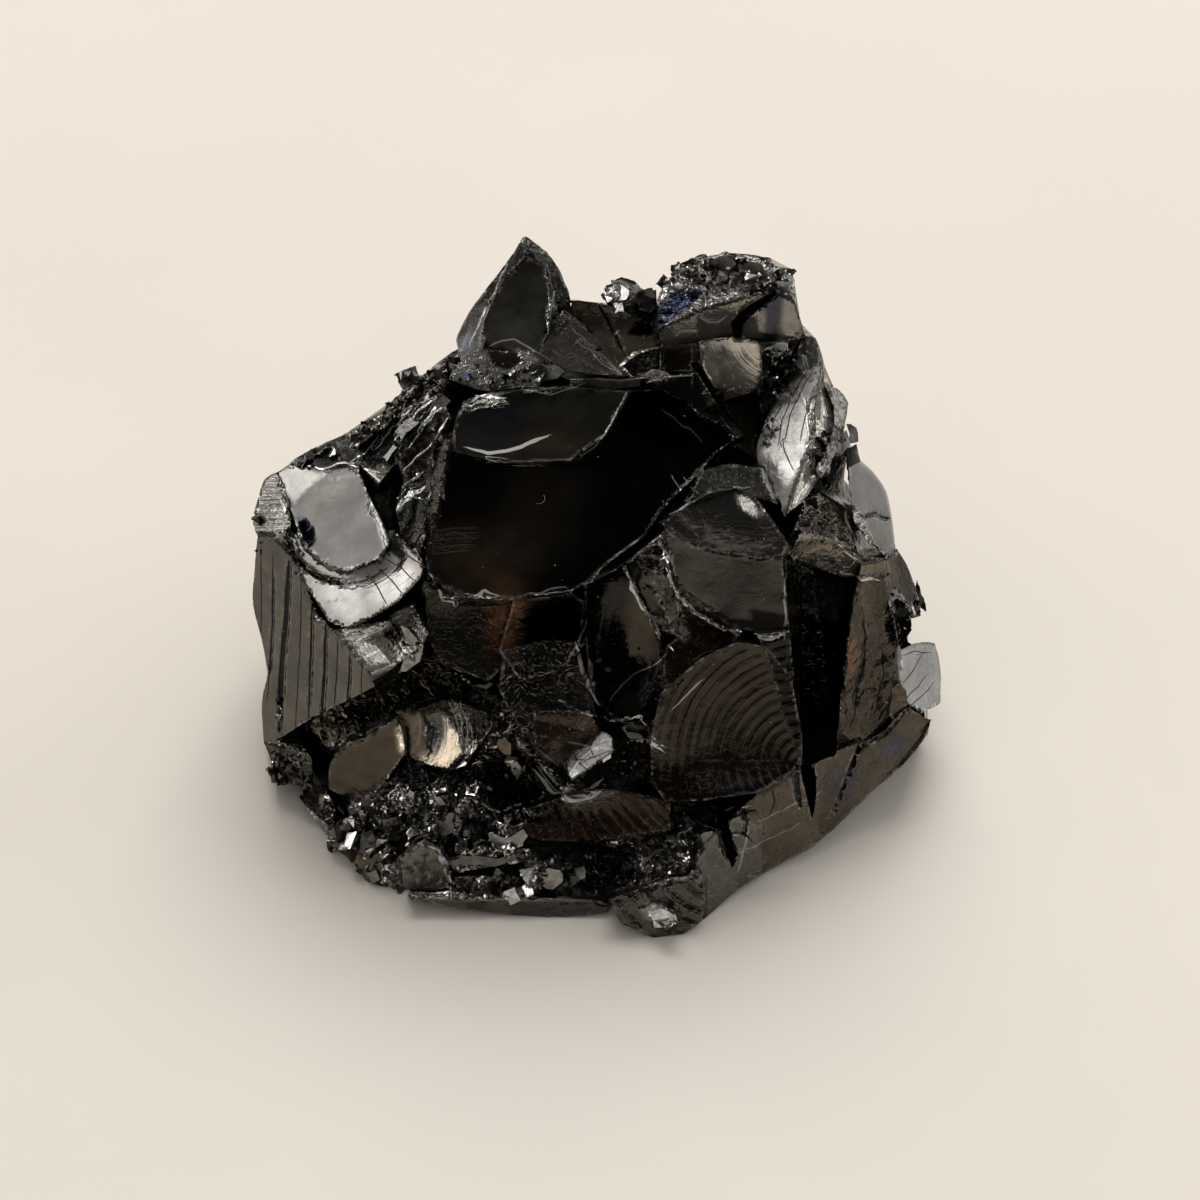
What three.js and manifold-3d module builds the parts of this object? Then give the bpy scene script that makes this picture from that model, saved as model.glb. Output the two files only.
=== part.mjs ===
// A hand-sized lump of shungite, broken all round into glassy shell-shaped fractures.
// Millimetres, +Z up, standing on the flat break at Z = 0, with the fractured front towards -Y.
import * as THREE from "three";
import { ConvexGeometry } from "three/addons/geometries/ConvexGeometry.js";
import { mergeVertices } from "three/addons/utils/BufferGeometryUtils.js";
import Module from "manifold-3d";

const wasm = await Module();
wasm.setup();

// The front leans back 45 degrees: its corners are laid out across it, up it and out from it.
const MIDDLE = new THREE.Vector3(0, 0, 20);
const ACROSS = new THREE.Vector3(1, 0, 0);
const UP = new THREE.Vector3(0, 1, 1).normalize();
const OUT = new THREE.Vector3(0, -1, 1).normalize();

function front(across, up, out) {
  return MIDDLE.clone()
    .addScaledVector(ACROSS, across)
    .addScaledVector(UP, up)
    .addScaledVector(OUT, out);
}

const GRAIN = 1e-3;

const plain = (x, y, z) => new THREE.Vector3(x, y, z);

function solidOf(geometry) {
  const bare = geometry.clone();
  for (const name of ["normal", "uv"]) bare.deleteAttribute(name);
  const merged = mergeVertices(bare, GRAIN);
  return new wasm.Manifold(
    new wasm.Mesh({
      numProp: 3,
      vertProperties: merged.attributes.position.array,
      triVerts: new Uint32Array(merged.index.array),
    }),
  );
}

const shard = (corners) => solidOf(new ConvexGeometry(corners));

// The body the faces are rooted in: a broad foot, the mass behind it and the two high corners.
const BODY = {
  foot: [
    plain(-29, -6, 0), plain(-22, -18, 0), plain(-10, -22.5, 0), plain(3, -24.5, 0), plain(9, -24.5, 0),
    plain(20, -17.4, 0), plain(27, -8, 0), plain(30, 2, 0), plain(25, 13, 0), plain(12, 21, 0),
    plain(-7, 22.5, 0), plain(-22, 16, 0), plain(-28, 7, 0),
    plain(30.5, 14, 6), plain(14, 26.5, 5), plain(-9, 27, 6), plain(-27, 19, 5), plain(-33, 7, 5),
    plain(-33.2, 0, 10), plain(-33.2, 10, 14), plain(-28, 20, 15), plain(-10, 28, 14), plain(12, 28, 14),
    plain(27, 19, 14), plain(31.5, 8, 10), plain(-26, 17, 21), plain(24, 16, 22), plain(0, 27, 22),
    front(-24, 0, 0), front(-22, -10, -1), front(-12, -8, 4), front(0, -12, 5), front(10, -8, 7),
    front(19, 0, 2), front(20, -18, 1), front(-18, -24, -1), front(0, -24, 3), front(24, 2, -3),
  ],
  shoulder: [
    plain(-31, 16, 17), plain(-32, 8, 19), plain(-29, 12, 25), plain(-24, 18, 24), plain(-20, 22, 24),
    plain(-15, 20, 34), plain(-13, 25, 28), plain(0, 20, 36), plain(10, 20, 36), plain(20, 21, 30),
    plain(25, 16, 25), plain(24, 10, 20), plain(0, 27, 24), plain(14, 27, 22),
    front(-14, 14, 5), front(0, 15, 6), front(12, 15, 4), front(22, 10, -2), front(-22, 6, 1),
  ],
  peakRoot: [
    front(-7.5, 34.6, 1.4), front(-9, 32, 1), front(-12, 28.5, 0.6), front(-14, 24, 1),
    front(-4.4, 31.5, 1),
    front(-3.4, 28, 1), front(-5, 22, 5), front(-13, 21, 5),
    plain(-8.4, 26.6, 38), plain(-14, 24, 29), plain(-3, 26.5, 31), plain(-5, 25, 24), plain(-13, 18, 24),
  ],
  blockRoot: [
    front(6, 28.5, 1), front(9, 32.2, 1.4), front(12.5, 33.2, 1.6), front(17, 32.8, 1.4),
    front(19.2, 30.8, 1),
    front(20, 26.4, 0.6), front(21, 22, 0.4), front(6.4, 22, 4), front(18, 19, 2),
    plain(9.5, 28.2, 38), plain(17, 27.8, 37), plain(21, 23, 29), plain(5, 27.5, 29), plain(15, 28, 26),
    plain(2, 20, 33), plain(20, 16, 26),
  ],
  saddleRoot: [
    front(-3.6, 28.2, 1), front(0, 28.4, 1), front(6, 28.4, 1), front(-4, 22, 4), front(6, 21, 4),
    plain(-3.4, 26.6, 33), plain(6, 27.6, 33.5), plain(1, 27.5, 26), plain(-2, 16, 28), plain(6, 16, 28),
  ],
  backRib: [
    plain(-14, 28.8, 4), plain(-12, 29.8, 12), plain(-15, 28.8, 20), plain(-18.5, 26.6, 18),
    plain(-19, 26, 6),
    plain(-10, 28.6, 8), plain(-14, 22, 8), plain(-12, 22, 16),
  ],
  backPlate: [
    plain(1, 29.4, 13), plain(10, 29.8, 15), plain(13.5, 28.8, 22), plain(8, 28.8, 27.5),
    plain(1, 28.6, 24),
    plain(-1, 24, 18), plain(10, 24, 20),
  ],
  backFoot: [
    plain(14, 27.4, 2.4), plain(20, 24.8, 3), plain(21.4, 24.2, 9), plain(15, 28, 10.5), plain(9, 28.4, 6),
    plain(14, 20, 5), plain(18, 18, 6),
  ],
  backHigh: [
    plain(-2, 28.2, 30), plain(3, 28.4, 34), plain(6, 28.2, 27), plain(-4, 28.4, 24), plain(-7, 27.4, 30),
    plain(0, 22, 28), plain(4, 22, 30),
  ],
  rightSlab: [
    plain(32.8, 6, 2.4), plain(33.2, 2, 6), plain(32.8, 5, 13), plain(31.5, 11, 12.5), plain(31.2, 13, 5),
    plain(26, 6, 6), plain(26, 8, 10),
  ],
  leftSlab: [
    plain(-34.2, 2, 3.5), plain(-34.6, 5, 10), plain(-34, 10, 14.5), plain(-33, 13, 8), plain(-33, 8, 2),
    plain(-28, 6, 6), plain(-28, 8, 10),
  ],
};

const FACETS = {
  darkFace: {
    outline: [[-17, 1.5], [-17.3, 3], [-16, 9], [-14.8, 13.8], [-10, 12.6], [-3, 12.9], [0.5, 15.2],
      [2.8, 19.7],
      [6, 20], [8.2, 19], [10, 17.5], [12.2, 16.5], [13.5, 15], [11.5, 13.5], [10, 12], [6, 8], [4.5, 5.5],
      [1, 3], [-1, 1], [-3, -0.2], [-6, -0.6], [-10, -1], [-13, -0.7], [-15.5, 0.5]],
    out: 12.4, rise: [0.02, -0.3],
    bowl: { depth: 2.4, at: [-0.5, 8], reach: [19, 13] },
  },
  darkScallop: {
    outline: [[-14.8, 13.8], [-14.3, 17], [-13.3, 18.8], [-10.5, 19.6], [-4, 20.2], [2.8, 19.7],
      [0.5, 15.2],
      [-3, 12.9], [-10, 12.6]],
    out: 9.9, rise: [-0.03, -0.42],
    bowl: { depth: 1.2, at: [-6, 16.4], reach: [11, 5] },
  },
  bevel: {
    outline: [[-16.4, 15], [-14.9, 14.8], [-15.9, 9], [-16.9, 2.6], [-17.7, 2.4], [-17.8, 3.5], [-17, 9]],
    out: 12, rise: [0.4, 0.15],
  },
  brownUpper: {
    outline: [[-19.5, 18], [-16, 19.6], [-14.8, 17], [-15.5, 14.5], [-16.6, 11], [-19, 10.3], [-20.8, 14]],
    out: 8.6, rise: [0.3, -0.4],
    bowl: { depth: 0.7, at: [-17.8, 14.8], reach: [3.8, 5.4] },
  },
  brownLower: {
    outline: [[-19.5, 10.6], [-16.5, 11], [-17.2, 6], [-17.9, 3], [-19.5, 4.5], [-20.3, 8]],
    out: 10.8, rise: [0.45, -0.3],
    bowl: { depth: 0.5, at: [-18.5, 7], reach: [2.8, 5] },
  },
  ridgeInner: {
    outline: [[-25, 14.5], [-22.5, 16], [-19, 18.5], [-16, 19.6], [-17.5, 17], [-20, 13], [-22, 10.5],
      [-23.5, 12]],
    out: 6.2, rise: [0.45, -0.9],
    bowl: { depth: 0.8, at: [-20.5, 15], reach: [5.6, 5.4] },
  },
  ridgeOuter: {
    outline: [[-25.6, 15.5], [-21.5, 18], [-18.7, 20.8], [-16, 22.6], [-14, 22], [-16, 19.4], [-19, 18],
      [-22.5, 15.5], [-24.5, 14]],
    out: 3.8, rise: [0.5, -1.3], deep: 6, flare: -0.05,
  },
  ridgeEnd: {
    outline: [[-31.5, 12.3], [-30, 13.5], [-27, 15], [-25.5, 15.5], [-23.8, 13.5], [-24, 11.5], [-26.5, 11],
      [-29, 12]],
    out: 3.6, rise: [0.5, -0.9], deep: 7, flare: -0.05,
  },
  brightDish: {
    outline: [[-32.3, 11.8], [-30, 12.6], [-27, 11.7], [-25, 12.2], [-23.8, 11.5], [-22.8, 9], [-21.5, 6.5],
      [-20.8, 4.6], [-22, 3], [-25, 1.8], [-27, 2.3], [-29, 4], [-30.2, 6], [-31.2, 9]],
    out: 8.2, rise: [0.75, -0.55], flare: 0,
    bowl: { depth: 0.2, at: [-27, 7.4], reach: [7.6, 7.6] },
  },
  brightRim: {
    outline: [[-31.3, 5.5], [-29.3, 0.5], [-28, -1.5], [-27, -3], [-25, -3.8], [-22.5, -2.7], [-20, -1.2],
      [-17.5, 1.5], [-17.6, 3], [-19, 4.5], [-20.5, 6], [-25, 4], [-29, 6]],
    out: 11.6, rise: [0.65, -0.35], flare: 0,
    bowl: { depth: 0.9, at: [-24.8, 3.8], reach: [9.6, 9.2], turn: 35 },
  },
  notch: {
    outline: [[-34.2, 9.3], [-33.6, 11], [-32.3, 12], [-31.2, 9], [-30.8, 6.3], [-32.3, 5.3], [-34.2, 5.2],
      [-34.8, 6.5]],
    out: 0.8, rise: [1.2, -0.2], deep: 8, flare: -0.05,
  },
  stripedFace: {
    outline: [[-34.2, 5.4], [-32, 5.2], [-31, 4.2], [-29, -0.5], [-28, -2.6], [-26, -4.5], [-24, -7],
      [-22.3, -9.6],
      [-26, -11.5], [-30, -13.5], [-32.5, -15.6], [-33.8, -15.5], [-34, -11], [-33.2, -8], [-34.2, -4],
      [-34.8, -1]],
    out: 2.4, rise: [0.85, 0.55], deep: 14, flare: -0.04,
  },
  toe: {
    outline: [[-33.8, -15.4], [-32.5, -15.2], [-30, -15.4], [-28.8, -17], [-28.8, -19.6], [-31, -19.4],
      [-32.6, -18]],
    out: -4.6, rise: [0.7, 0.5], deep: 8, flare: -0.02,
  },
  cheekGrey: {
    outline: [[-26.2, -4], [-24, -3.6], [-21, -3], [-20, -4.5], [-20.2, -7.5], [-22.5, -9], [-24.3, -7]],
    out: 9.6, rise: [0.5, 0.6],
    bowl: { depth: 0.5, at: [-23, -5.6], reach: [4.6, 4.4] },
  },
  cheekBright: {
    outline: [[-21, -2.6], [-18.5, -1.4], [-17, -4.3], [-18, -6.2], [-20.3, -7.3], [-20, -4.5]],
    out: 11.4, rise: [0.65, 0.1],
  },
  wallLeft: {
    outline: [[-17.5, 1], [-13, -0.6], [-8, -1], [-7.5, -5], [-11, -9], [-15, -8.6], [-17, -5]],
    out: 10.8, rise: [0.05, 0.22],
    bowl: { depth: 1.3, at: [-12.5, -4.2], reach: [6.4, 5.8] },
  },
  wallMiddle: {
    outline: [[-8.5, -0.7], [-3, -0.2], [-1.2, -1.5], [-1.2, -5], [-4, -8], [-8, -9], [-10, -6]],
    out: 11.6, rise: [-0.05, 0.28],
    bowl: { depth: 1.1, at: [-4.8, -3.8], reach: [5.4, 5.2] },
  },
  striated: {
    outline: [[-9.5, -6], [-5, -5], [-2.4, -5.3], [-1, -9.5], [-0.4, -12.5], [-4, -15], [-8, -14],
      [-10, -10]],
    out: 10, rise: [-0.12, 0.12],
    bowl: { depth: 1.4, at: [-4.4, -9], reach: [6.8, 7.2] },
  },
  brownStep: {
    outline: [[-6.5, -12], [-1, -12], [0, -14], [-1.5, -16], [-4, -17.4], [-6.5, -16]],
    out: 9, rise: [0.1, 0.32],
    bowl: { depth: 0.7, at: [-3.2, -14.2], reach: [4.4, 3.8] },
  },
  lowBrown: {
    outline: [[-8.5, -21], [-3, -20.2], [2, -20], [7, -21], [7, -24], [0, -25], [-6, -25], [-9, -23.5]],
    out: 6.2, rise: [0.05, 0.35],
    bowl: { depth: 1.2, at: [-0.5, -22.6], reach: [9.8, 3.6] },
  },
  fanGrey: {
    outline: [[6.5, 6], [9, 4.4], [12, 3.6], [16, 3], [18, 3.5], [18.5, 0], [18.8, -4], [17, -4.5],
      [14, -3.8],
      [10, -1.4], [8, 0], [7.2, 2]],
    out: 14, rise: [-0.12, 0.45],
    bowl: { depth: 0.25, at: [12.8, 0.4], reach: [8, 6] },
  },
  fanLeaf: {
    outline: [[6.2, 6.6], [9, 9], [13, 10.2], [15.5, 9.2], [17, 7], [18.6, 4.4], [18, 3.4], [16, 3],
      [12, 3.6], [9, 4.4]],
    out: 14, rise: [-0.16, -0.6],
    bowl: { depth: 0.9, at: [13.4, 7.4], reach: [7, 4.4], turn: -12 },
  },
  fanTop: {
    outline: [[10, 11.8], [13, 12.6], [16, 12], [17.6, 8.5], [15.5, 9.2], [13, 10.2], [9, 9]],
    out: 11.6, rise: [-0.3, -0.2],
  },
  sliver: {
    outline: [[2.3, 2.6], [4.2, 4], [6.4, 5.8], [7.1, 2], [7.9, 0], [7.6, -4.6], [6, -4], [4, -1]],
    out: 13.6, rise: [0.5, 0.25],
  },
  leafBed: {
    outline: [[-1.6, 0.6], [2.3, 2.6], [4, -1], [6, -4.4], [6.4, -8], [6.4, -11.5], [5, -13.6], [1.5, -13],
      [-0.6, -10.5], [-1.4, -5]],
    out: 12.2, rise: [0.05, 0.2],
  },
  redBrown: {
    outline: [[7.2, 1], [10, -1.6], [14, -4], [13, -5.8], [10, -7.2], [6.4, -10.6], [6.2, -6], [7.6, -4.6]],
    out: 13, rise: [-0.12, 0.2],
    bowl: { depth: 0.8, at: [9.6, -4], reach: [5.4, 5.4] },
  },
  ribbed: {
    outline: [[6, -10.4], [10, -6.8], [14, -5], [17, -6], [19, -9], [19.9, -14], [19.9, -17.6], [16, -20],
      [10, -21],
      [6.5, -21], [5, -19], [5, -15]],
    out: 11.2, rise: [-0.04, 0.42],
    bowl: { depth: 1.2, at: [14, -14], reach: [12, 11.5] },
  },
  ribbedSide: {
    outline: [[15.5, -4.4], [18.8, -4], [19.4, -9], [20, -14], [20, -17.4], [18.4, -13], [17, -8]],
    out: 11.4, rise: [-0.6, 0.3],
  },
  column: {
    outline: [[23.6, -16], [23.9, -11], [25, -2], [26, 2.4], [28.3, 2.8], [29, -1], [29.8, -5], [29.8, -9],
      [28.5, -13], [26.5, -15.8]],
    out: 3.6, rise: [-0.85, 0.42],
    bowl: { depth: 0.6, at: [27, -6.5], reach: [3.8, 11] },
  },
  brow: {
    outline: [[18.8, 3.6], [20, 6], [23, 5.2], [25.4, 3.6], [28.6, 3], [29, 1.8], [26, 1.5], [22, 1.6],
      [19.5, 2.4]],
    out: 6.6, rise: [-0.7, 0.25],
  },
  browUpper: {
    outline: [[18.6, 4.6], [20.4, 9], [22, 9.8], [24.6, 8], [25.4, 4], [23, 5], [20.5, 5]],
    out: 5.6, rise: [-0.6, -0.4],
  },
  palePatch: {
    outline: [[24.3, 16], [25.6, 13.4], [27.2, 12.2], [28.8, 10], [29.5, 6.5], [29.6, 4.6], [28.4, 3.4],
      [26.5, 5],
      [25.2, 7], [24.8, 10]],
    out: 1.2, rise: [-1.9, -0.5], deep: 9, flare: -0.1,
    bowl: { depth: 0.12, at: [27, 9], reach: [4, 8] },
  },
  paleLow: {
    outline: [[30, -6], [31.8, -5.2], [33.8, -5.4], [34.4, -9], [34.2, -11.5], [32.5, -12.4], [30.5, -11.2],
      [29.9, -9]],
    out: -3.6, rise: [-1.7, -0.3], deep: 8, flare: -0.1,
    bowl: { depth: 0.3, at: [32.2, -9], reach: [4, 5] },
  },
  paleStub: {
    outline: [[31.5, -3], [33.2, -3], [33.5, -5.2], [31.7, -5.2]],
    out: -2.6, rise: [-1.4, -0.3], deep: 7, flare: -0.1,
  },
  browSide: {
    outline: [[28.8, 3.4], [29.7, 4.2], [30.6, 2.8], [31.8, 0], [32.1, -2.6], [31, -3], [29.4, -1],
      [28.8, 1]],
    out: 0.4, rise: [-1.3, 0.1], deep: 9, flare: -0.1,
  },
  lens: {
    outline: [[22.2, 22.5], [22, 21], [21.6, 19], [21, 15], [20, 12], [19, 9], [18.3, 7.3], [17.5, 8.8],
      [16.5, 11],
      [15.5, 13], [15.5, 14.2], [16.5, 17], [18, 19.5], [20, 21.5]],
    out: 5.6, rise: [0.6, -0.55], flare: 0,
  },
  lensTop: {
    outline: [[20.2, 25.4], [21.5, 25.2], [22, 24], [22.5, 22.3], [21, 20.6], [19.6, 22.4], [19.8, 24.4]],
    out: 2.6, rise: [-0.5, -0.6], deep: 6, flare: 0,
  },
  lensSide: {
    outline: [[22.2, 22.6], [23.6, 19.8], [24, 18], [23.4, 15], [22.4, 12.5], [20.4, 9], [18.3, 7.3],
      [19, 9],
      [20, 12], [21, 15], [21.6, 19], [22, 21]],
    out: 5, rise: [-1.1, -0.5], deep: 9, flare: 0,
  },
  lensOuter: {
    outline: [[22.4, 20.6], [24, 20], [24.8, 18.7], [24.4, 16], [23.6, 13.6], [22, 11], [21.4, 12],
      [23, 15],
      [23.4, 18]],
    out: 3.6, rise: [-1.3, -0.6], deep: 9, flare: -0.05,
  },
  blockFace: {
    outline: [[5.7, 26.2], [10, 28.2], [14, 29.2], [17.5, 30], [19.2, 29.4], [20, 27.2], [20.3, 25.4],
      [18, 24.6],
      [14, 25], [12, 25.4], [9, 24.4], [6.3, 24]],
    out: 4.2, rise: [-0.08, 0.48], deep: 7, flare: 0,
    bowl: { depth: 0.25, at: [12.5, 27.4], reach: [8.6, 3.8] },
  },
  blockStep: {
    outline: [[9.8, 24.8], [13.5, 25.4], [16, 24.6], [16.3, 22], [15.6, 20], [12.4, 18.8], [10.5, 21]],
    out: 5.6, rise: [0.06, 0.5], flare: 0,
    bowl: { depth: 0.25, at: [13.3, 22.2], reach: [4.6, 4.6] },
  },
  blockNiche: {
    outline: [[6.3, 24.2], [9.6, 24.6], [10.5, 22], [9, 20.4], [6.4, 21]],
    out: 4.4, rise: [0, 0.1], flare: 0,
  },
  ledgeStrip: {
    outline: [[-3, 21], [2, 20.9], [6, 21.3], [10.4, 21.8], [12.4, 18.9], [10, 17.8], [8, 19], [4, 19.6],
      [-3, 20]],
    out: 6.9, rise: [0, 0.2], flare: 0,
  },
  crust: {
    outline: [[5.7, 29], [6.8, 31], [9, 32.7], [10.5, 33.3], [12.5, 33.7], [15, 33.6], [17, 33.2],
      [17.5, 32.4],
      [19, 32.2], [19.5, 31], [19.4, 28.9], [17, 29.9], [14, 29.1], [10, 28], [5.7, 26]],
    out: 3.3, rise: [-0.05, -0.75], deep: 5, flare: -0.03,
  },
  blockRight: {
    outline: [[16, 24.6], [19, 25], [20.4, 25.5], [21, 23], [20, 20.8], [18, 19.4], [16, 17.4],
      [15.6, 19.8]],
    out: 3.4, rise: [-0.3, 0.1], flare: 0,
  },
  saddle: {
    outline: [[-3, 29], [0, 28.7], [2, 28], [5, 26.6], [5.5, 24.2], [3.4, 23.2], [2.2, 21.3], [0, 24],
      [-2.4, 27]],
    out: 2.6, rise: [0.02, 0.3], deep: 6, flare: -0.03,
    bowl: { depth: 0.6, at: [1.2, 25.6], reach: [5.6, 4.8] },
  },
  saddleRidge: {
    outline: [[-3.6, 28], [-2.2, 27], [0.2, 24], [2.3, 21.2], [1, 20.4], [-3, 20.8], [-6, 22.3],
      [-5.8, 24.8]],
    out: 4.2, rise: [-0.3, 0.05], deep: 10, flare: 0,
    bowl: { depth: 0.7, at: [-2.4, 23.6], reach: [4.8, 4.4], turn: -40 },
  },
  peakFace: {
    outline: [[-7.2, 33.4], [-5.8, 32.6], [-4.4, 29], [-3.6, 26], [-5.5, 24], [-10, 23.6], [-12, 25.6],
      [-10.8, 29],
      [-8.7, 32]],
    out: 4, rise: [0.02, -0.05], deep: 6, flare: -0.04,
    bowl: { depth: 0.6, at: [-7.6, 28], reach: [5, 6.6] },
  },
  peakLeft: {
    outline: [[-7.5, 35.2], [-7, 33.4], [-8.7, 32], [-10.8, 29], [-12, 25.6], [-12.2, 23], [-14, 22.6],
      [-14.5, 25],
      [-13, 28], [-10.6, 31], [-9.2, 33]],
    out: 2.2, rise: [0.9, 0.1], deep: 5, flare: -0.04,
  },
  peakRight: {
    outline: [[-7.5, 35.2], [-5.2, 33.8], [-4.1, 32], [-3, 29.5], [-3.2, 25.6], [-3.6, 26], [-4.4, 29],
      [-5.8, 32.6],
      [-7, 33.4]],
    out: 2.8, rise: [-0.9, 0.05], deep: 5, flare: -0.04,
  },
  flakes: {
    outline: [[-15, 21], [-14, 23], [-12, 24], [-7, 23.8], [-5.2, 22.2], [-6, 20.4], [-12, 19.8]],
    out: 6, rise: [0, -0.35], flare: 0,
  },
  lowCheek: {
    outline: [[-27.2, -17.5], [-25.5, -15.4], [-23, -14.4], [-20.5, -12.8], [-19.8, -13.2], [-19.3, -16],
      [-21.3, -19],
      [-23, -20.6], [-25.5, -20.8], [-27.2, -20]],
    out: 1, rise: [0.5, 0.6],
    bowl: { depth: 0.2, at: [-23.4, -17], reach: [6, 6] },
  },
  goldDish: {
    outline: [[-20, -12.5], [-17, -11.4], [-15.2, -10.9], [-13.8, -13], [-13.2, -16], [-15, -17.8],
      [-17, -17.5],
      [-18.8, -16.6], [-19.4, -15]],
    out: 3.6, rise: [0.75, -0.3],
    bowl: { depth: 0.5, at: [-16.6, -14.4], reach: [5, 5] },
  },
  goldTop: {
    outline: [[-15.6, -10.9], [-14.6, -10.8], [-11, -12.4], [-10.4, -13.6], [-12, -15.6], [-13.4, -17.2],
      [-14.2, -14]],
    out: 6, rise: [0.05, -0.25],
  },
  lumpHigh: {
    outline: [[-29.6, -19.3], [-27.5, -19.8], [-26.4, -22], [-27.2, -23.6], [-29, -22.2], [-30.2, -20.8]],
    out: -3.4, rise: [0.4, 0.2], deep: 7, flare: 0,
  },
  lumpMiddle: {
    outline: [[-27.3, -23.6], [-25, -22.8], [-22.8, -24.8], [-22.4, -27.2], [-24.6, -27.2], [-26.6, -25.7]],
    out: -0.4, rise: [0.5, 0.3], deep: 7, flare: 0,
  },
  lumpLow: {
    outline: [[-24.2, -26], [-21, -25.3], [-19.8, -27], [-19.8, -30.2], [-21.2, -30.4], [-23.2, -29.4],
      [-24.6, -27.3]],
    out: 2.2, rise: [0.5, 0.5], deep: 8, flare: 0,
  },
  greyFoot: {
    outline: [[-20, -26.4], [-17.4, -24.8], [-15.7, -26], [-14.7, -29], [-15.4, -30.2], [-19.5, -30.4],
      [-20.2, -29.5]],
    out: 3.6, rise: [0.2, 0.6], deep: 9, flare: 0,
    bowl: { depth: 0.4, at: [-17.6, -28], reach: [4, 4] },
  },
  slabUpper: {
    outline: [[-15.2, -27], [-12, -25.6], [-6.6, -25.8], [-6, -26.8], [-9, -27.4], [-14.6, -28]],
    out: 5, rise: [0, 0.5], deep: 8, flare: 0,
  },
  slabLower: {
    outline: [[-15.2, -29], [-12, -28.4], [-7.6, -28.5], [-8.6, -29.5], [-14, -30]],
    out: 4, rise: [0, 0.5], deep: 8, flare: 0,
  },
  slabFoot: {
    outline: [[-19, -30], [-13, -30.4], [-8, -30.6], [0, -30.9], [1, -31.4], [0.4, -32.2], [-4, -32.7],
      [-10, -32.3],
      [-15, -31.6], [-19, -30.8]],
    out: 5.1, rise: [0, 0.5], deep: 9, flare: 0,
  },
  hoof: {
    outline: [[0.8, -30.8], [4, -29.6], [8, -28.4], [10, -27.6], [10.6, -30.5], [10, -33.2], [8, -34.4],
      [5.5, -34.7],
      [2, -33.2]],
    out: 7.7, rise: [-0.1, 0.45], deep: 9, flare: 0,
  },
  heelLeft: {
    outline: [[9.6, -26.4], [11, -24.4], [13, -22.8], [15.6, -22], [16.5, -24], [16.2, -28.4],
      [13.6, -30], [10.2, -33],
      [10.3, -30], [9.6, -28]],
    out: 5.6, rise: [-0.9, 0.5],
  },
  heelMiddle: {
    outline: [[13, -22.6], [16, -20], [20, -18.2], [23.4, -16.2], [25.8, -15.2], [24, -20], [22, -25.2],
      [19, -26.8],
      [16.2, -28.2], [15.8, -24]],
    out: 3, rise: [-0.55, 0.6],
    bowl: { depth: 0.35, at: [19.5, -22], reach: [9.4, 6.8], turn: 30 },
  },
  heelRight: {
    outline: [[22.6, -16.4], [25.5, -15.6], [28.5, -14], [30.6, -11.6], [33, -13], [34, -11.4], [33, -13.6],
      [32.4, -15.2], [30.4, -17.6], [28, -19.6], [26.1, -21.3], [23, -24.4], [21.6, -25]],
    out: -1, rise: [-0.6, 0.45], deep: 10, flare: 0,
    bowl: { depth: 0.25, at: [29, -18], reach: [8, 6], turn: 35 },
  },
};

// Hollows looked into from the front: outline, the depth of the floor at its middle and its rise.
const PITS = {
  longGully: {
    outline: [[-33.2, -15.4], [-30, -13.6], [-26, -11.6], [-22.3, -9.7], [-20, -7.6], [-16.5, -7],
      [-13, -8.4],
      [-10, -9.6], [-10.4, -11.6], [-12, -11.8], [-15, -10.6], [-20, -12.3], [-23, -13.8], [-26, -15.2],
      [-29, -16.3]],
    out: -0.5, rise: [0.35, 0],
  },
  sideGully: {
    outline: [[19.6, 3], [20, -2], [19.9, -9], [20.2, -17], [23.5, -16.6], [23.7, -11], [24.9, -2],
      [24, 1.2],
      [22, 2]],
    out: -1.5, rise: [0, 0.2],
  },
  hollow: {
    outline: [[-10, -10], [-8, -13.6], [-6.4, -16.6], [-4, -18.6], [-3.6, -20.6], [-8.5, -22],
      [-9.8, -20.6],
      [-12, -19], [-14, -18.2], [-12.4, -16], [-10.6, -13.6]],
    out: 2.5, rise: [0.2, 0.2],
  },
  underCheek: {
    outline: [[-21.4, -19], [-19.2, -16.8], [-17, -17.8], [-15, -18.1], [-13.4, -17.2], [-12, -18.6],
      [-14, -20],
      [-20, -20.4]],
    out: 0.5, rise: [0.2, 0],
  },
  footHole: {
    outline: [[0, -25], [4, -24.4], [8.6, -24.6], [9.2, -27], [9, -28.4], [4, -29.4], [0.6, -30],
      [-0.6, -27.4]],
    out: 2.2, rise: [0, 0],
  },
  saddleHole: {
    outline: [[2.2, 22.4], [3.5, 23.5], [5.9, 24.1], [6, 21.7], [3.2, 21.3]],
    out: -1, rise: [0, 0],
  },
  blockCrack: {
    outline: [[13.4, 24.8], [13.1, 26.6], [14.4, 28.1], [17.4, 29.9], [17.7, 29.5], [15.1, 27.5],
      [14, 26.2],
      [14.1, 24.8]],
    out: 1, rise: [0, 0],
  },
  stepCrack: {
    outline: [[9, 22.6], [12.6, 17.2], [13.2, 17.4], [9.6, 22.9]],
    out: 2, rise: [0, 0],
  },
  heelCrack: {
    outline: [[11.6, -21.8], [12.4, -22], [13.6, -26.4], [13.2, -27.6], [12.2, -25]],
    out: -1, rise: [0, 0],
  },
  heelCrackRight: {
    outline: [[20, -17.4], [21.4, -17.6], [21.6, -21], [21.2, -23], [20.6, -20.6]],
    out: -4, rise: [0, 0],
  },
};

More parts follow.
